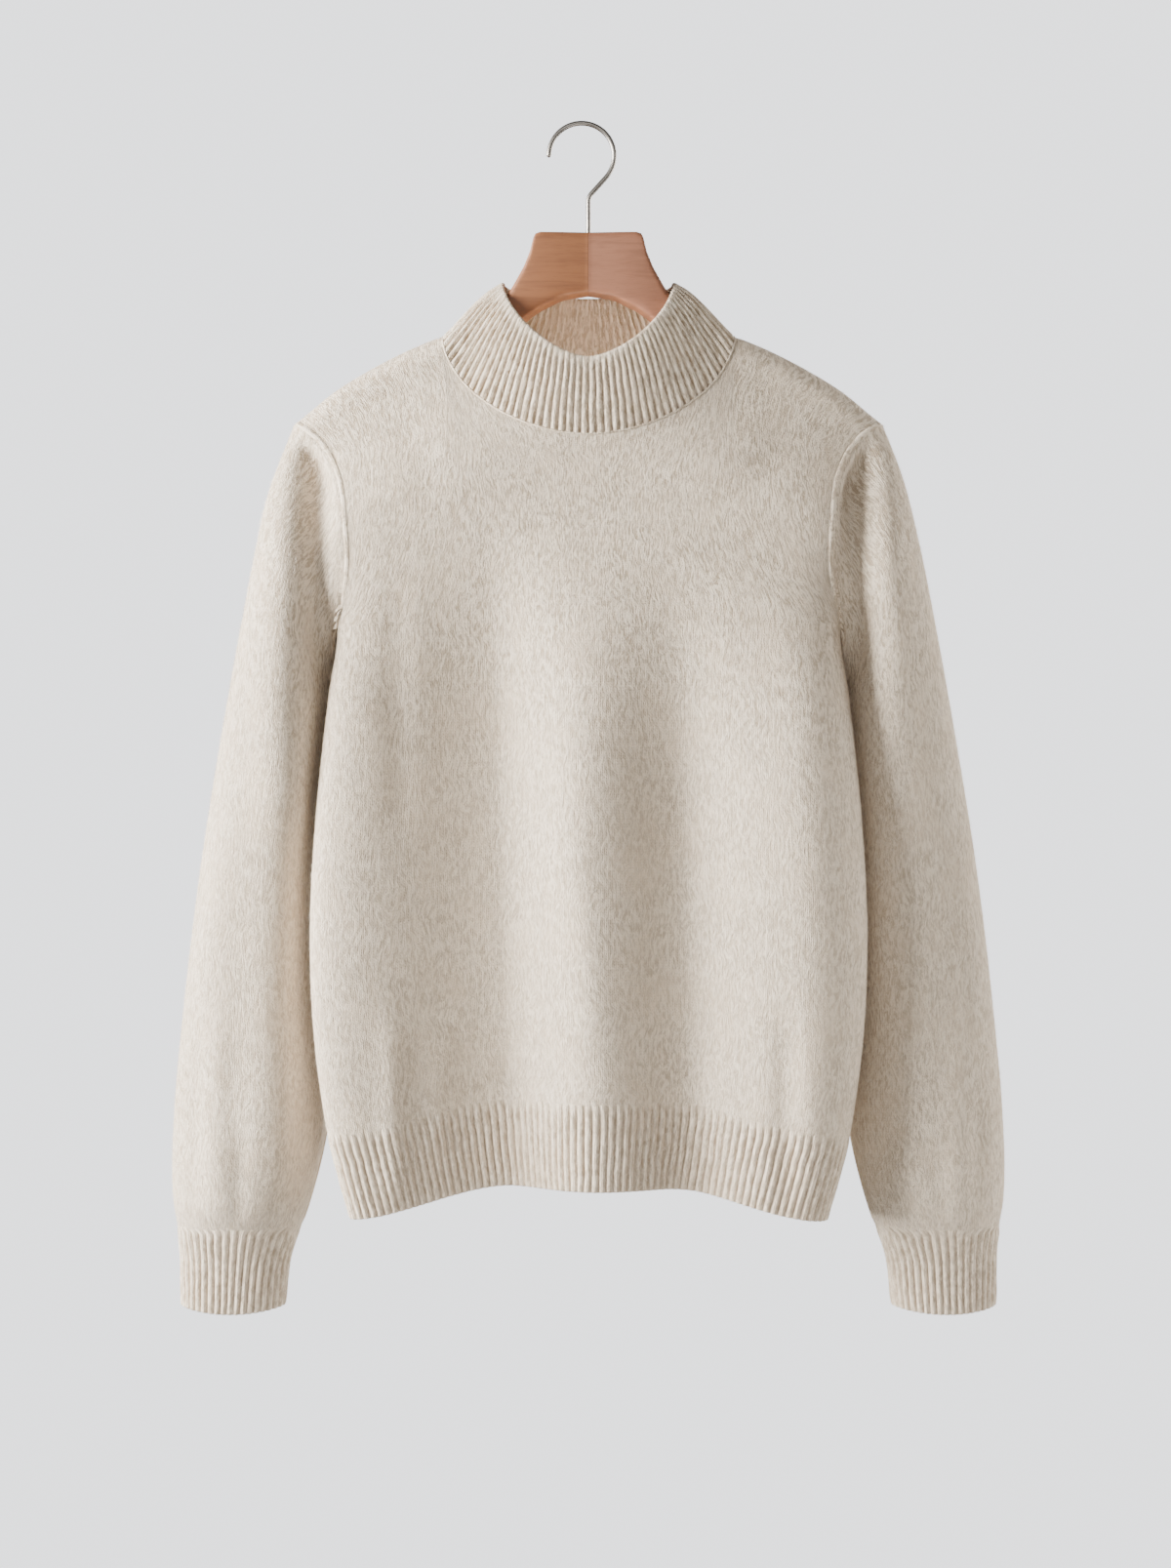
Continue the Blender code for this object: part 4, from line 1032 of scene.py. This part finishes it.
def woolMaterial(name, ribbed=False, stitchDepth=0.00025, napDepth=0.0018):
    made, tree, shader = blankMaterial(name)
    cloth = tree.nodes.new("ShaderNodeUVMap").outputs["UV"]
    stitches = groupIn(tree, knitStitches, Cloth=cloth)
    fibres = groupIn(tree, brushedNap, Cloth=cloth, Swirl=wool["ribSwirl" if ribbed else "swirl"])
    split = tree.nodes.new("ShaderNodeSeparateXYZ")
    link(tree, tree.nodes.new("ShaderNodeTexCoord").outputs["Object"], split.inputs[0])
    teased = ramp(tree, split.outputs["Z"], *wool["teasedFrom"])   # over the chest and shoulders
    contrast = calc(tree, "ADD", teased, 1.0)
    streak = calc(tree, "MULTIPLY", calc(tree, "SUBTRACT", fibres.outputs["Streak"], 0.5), contrast)
    colour = mixColour(tree, calc(tree, "ADD", streak, 0.66, clamp=True), wool["deep"], wool["light"])
    colour = mixColour(tree, ramp(tree, fibres.outputs["Cloud"], 0.42, 0.72), colour,
                       mixColour(tree, 0.5, colour, wool["warm"]))
    # painted shade: the rib grooves are mixed towards dark brown by the groove mask
    if ribbed:
        mask = tree.nodes.new("ShaderNodeAttribute")
        mask.attribute_name = "groove_shade"
        colour = mixColour(tree, calc(tree, "MULTIPLY", mask.outputs["Fac"], 0.80), colour, wool["groove_shade"])
    height = calc(tree, "ADD", calc(tree, "MULTIPLY", stitches.outputs["Height"], stitchDepth),
                   calc(tree, "MULTIPLY", fibres.outputs["Height"], napDepth))
    addBump(tree, shader, height, 1.0, 1.0)
    link(tree, colour, shader.inputs["Base Color"])
    setInputs(shader, {"Roughness": wool["roughness"], "Specular IOR Level": 0.25, "Sheen Roughness": 0.55,
                       "Sheen Weight": wool["sheen"], "Sheen Tint": (1.0, 0.97, 0.92, 1)})
    return made


def fibreMaterial():
    made, tree, shader = blankMaterial("wool_fibres")
    split = tree.nodes.new("ShaderNodeSeparateXYZ")
    link(tree, tree.nodes.new("ShaderNodeUVMap").outputs["UV"], split.inputs[0])
    colour = mixColour(tree, split.outputs["X"], wool["darkFibre"], wool["paleFibre"])
    link(tree, colour, shader.inputs["Base Color"])
    setInputs(shader, {"Roughness": 0.9, "Specular IOR Level": 0.2, "Sheen Weight": 0.3})
    return made


# two boards meet at the middle: orange on the left, pink on the right
wood = {
    "orange": (0.315, 0.124, 0.050),
    "pink": (0.265, 0.109, 0.058),
    "dark": (0.145, 0.056, 0.027),
    "roughness": 0.48,
}


def woodMaterial():
    made, tree, shader = blankMaterial("brown_wood")
    place = tree.nodes.new("ShaderNodeTexCoord").outputs["Object"]
    centred = tree.nodes.new("ShaderNodeMapping")
    centred.inputs["Location"].default_value = (-garment["stemX"], 0, 0)
    link(tree, place, centred.inputs["Vector"])
    split = tree.nodes.new("ShaderNodeSeparateXYZ")
    link(tree, centred.outputs[0], split.inputs[0])
    half = ramp(tree, split.outputs["X"], -0.0002, 0.0002)
    left = noise(tree, stretched(tree, centred.outputs[0], (22, 60, 260)), 1.0, 4.0, 0.6, 0.6)
    right = noise(tree, stretched(tree, centred.outputs[0], (26, 70, 230), 0.35), 1.0, 4.0, 0.6, 0.6)
    left = calc(tree, "MULTIPLY", left, calc(tree, "SUBTRACT", 1.0, half))
    grain = calc(tree, "ADD", left, calc(tree, "MULTIPLY", right, half))
    fine = noise(tree, stretched(tree, centred.outputs[0], (120, 500, 2200)), 1.0, 2.0, 0.6)
    base = mixColour(tree, half, wood["orange"], wood["pink"])
    colour = mixColour(tree, ramp(tree, grain, 0.40, 0.70), base, mixColour(tree, 0.5, base, wood["dark"]))
    colour = mixColour(tree, calc(tree, "MULTIPLY", ramp(tree, fine, 0.55, 0.75), 0.35), colour, wood["dark"])
    line = calc(tree, "SUBTRACT", 1.0, ramp(tree, calc(tree, "ABSOLUTE", split.outputs["X"]), 0.0002, 0.0007))
    colour = mixColour(tree, calc(tree, "MULTIPLY", line, 0.45), colour, wood["dark"])
    link(tree, colour, shader.inputs["Base Color"])
    rough = calc(tree, "ADD", wood["roughness"], calc(tree, "MULTIPLY", fine, 0.12))
    link(tree, rough, shader.inputs["Roughness"])
    addBump(tree, shader, calc(tree, "SUBTRACT", fine, line), 0.0002, 0.25)
    setInputs(shader, {"Coat Weight": 0.06, "Coat Roughness": 0.35})
    return made


wire = {"light": (0.420, 0.395, 0.360), "stained": (0.300, 0.275, 0.245), "roughness": 0.24}


def wireMaterial():
    made, tree, shader = blankMaterial("dark_brushed_steel")
    cloth = tree.nodes.new("ShaderNodeUVMap").outputs["UV"]
    drawn = noise(tree, stretched(tree, cloth, (2400, 60, 1)), 1.0, 3.0, 0.6)
    stain = noise(tree, stretched(tree, cloth, (60, 40, 1)), 1.0, 2.0, 0.5)
    colour = mixColour(tree, ramp(tree, stain, 0.35, 0.7), wire["stained"], wire["light"])
    link(tree, colour, shader.inputs["Base Color"])
    rough = calc(tree, "ADD", wire["roughness"], calc(tree, "MULTIPLY", drawn, 0.22))
    link(tree, rough, shader.inputs["Roughness"])
    setInputs(shader, {"Metallic": 1.0})
    addBump(tree, shader, drawn, 0.00005, 0.4)
    return made


knitFinish = woolMaterial("cream_knit")
seamFinish = woolMaterial("cream_seam", napDepth=0.0003)
fibreFinish = fibreMaterial()
woodFinish = woodMaterial()
wireFinish = wireMaterial()
ribFinish = woolMaterial("cream_rib", ribbed=True, stitchDepth=0.0003, napDepth=0.0012)

ribbed = ("hem_rib_front", "hem_rib_back", "cuff_left", "cuff_right", "collar")
finishOf = {"hanger": woodFinish, "hook": wireFinish, **{name: ribFinish for name in ribbed}}
for name, piece in pieces.items():
    piece.data.materials.clear()
    piece.data.materials.append(finishOf.get(name, seamFinish if "seam" in name else knitFinish))
    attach(piece, "root")
    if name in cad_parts:
        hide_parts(name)
for name, piece in naps.items():
    piece.data.materials.append(fibreFinish)
    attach(piece, "root")
print("finishes set")
view = {"at": (0.0027, -1.8, -0.4519), "lens": 60.2}
bpy.ops.object.camera_add(location=view["at"], rotation=(math.pi / 2, 0, 0))
camera = bpy.context.object
camera.data.sensor_fit = "VERTICAL"
camera.data.sensor_height = camera.data.sensor_width = 36
camera.data.lens = view["lens"]
bpy.context.scene.camera = camera

# the room is seen pale and even all round, and lights the wool only faintly
world = bpy.data.worlds.new("room")
bpy.context.scene.world = world
world.use_nodes = True
room = world.node_tree
dim = room.nodes["Background"]
setInputs(dim, {"Color": (1.0, 0.97, 0.93, 1), "Strength": 0.14})
seen = room.nodes.new("ShaderNodeBackground")
setInputs(seen, {"Color": (0.70, 0.71, 0.735, 1), "Strength": 3.1})
blend = room.nodes.new("ShaderNodeMixShader")
link(room, room.nodes.new("ShaderNodeLightPath").outputs["Is Camera Ray"], blend.inputs[0])
link(room, dim.outputs[0], blend.inputs[1])
link(room, seen.outputs[0], blend.inputs[2])
link(room, blend.outputs[0], room.nodes["World Output"].inputs["Surface"])


def softLight(name, at, towards, size, power, colour):
    bpy.ops.object.light_add(type="AREA", location=at)
    lamp = bpy.context.object
    lamp.name = name
    lamp.data.shape = "RECTANGLE"
    lamp.data.size, lamp.data.size_y = size
    lamp.data.energy = power
    lamp.data.color = colour
    aim = np.array(towards, float) - np.array(at, float)
    lamp.rotation_mode = "QUATERNION"
    lamp.rotation_quaternion = Vector(aim).to_track_quat("-Z", "Y")


# at, towards, size, watts, colour; the glow is the light that soaks through the wool into the neck
lights = {
    "left_window": ((-2.36, -0.68, 0.05), (0, 0, -0.45), (1.5, 1.6), 350, (1.0, 0.985, 0.96)),
    "front_fill": ((-0.4, -2.7, 0.3), (0, 0, -0.45), (1.6, 1.6), 14, (1, 1, 1)),
    "back_window": ((1.0, 2.7, 0.4), (0, 0, -0.45), (1.8, 1.8), 130, (1.0, 0.985, 0.96)),
    "right_bounce": ((2.35, 0.35, -0.3), (0, 0, -0.5), (1.4, 1.8), 72, (1.0, 0.97, 0.93)),
    "floor_bounce": ((0.5, -1.0, -2.3), (0, 0, -0.5), (2.0, 2.0), 34, (1.0, 0.98, 0.95)),
    "neck_glow": ((0, -0.014, -0.270), (0, 0.045, -0.140), (0.05, 0.03), 0.24, (1.0, 0.90, 0.78)),
}
for name, light in lights.items():
    softLight(name, *light)
bpy.context.object.visible_camera = False
print("lights placed")

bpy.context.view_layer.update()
added = [*pieces.values(), *naps.values()]
print("added triangles", sum(len(face.vertices) - 2 for piece in added for face in piece.data.polygons))
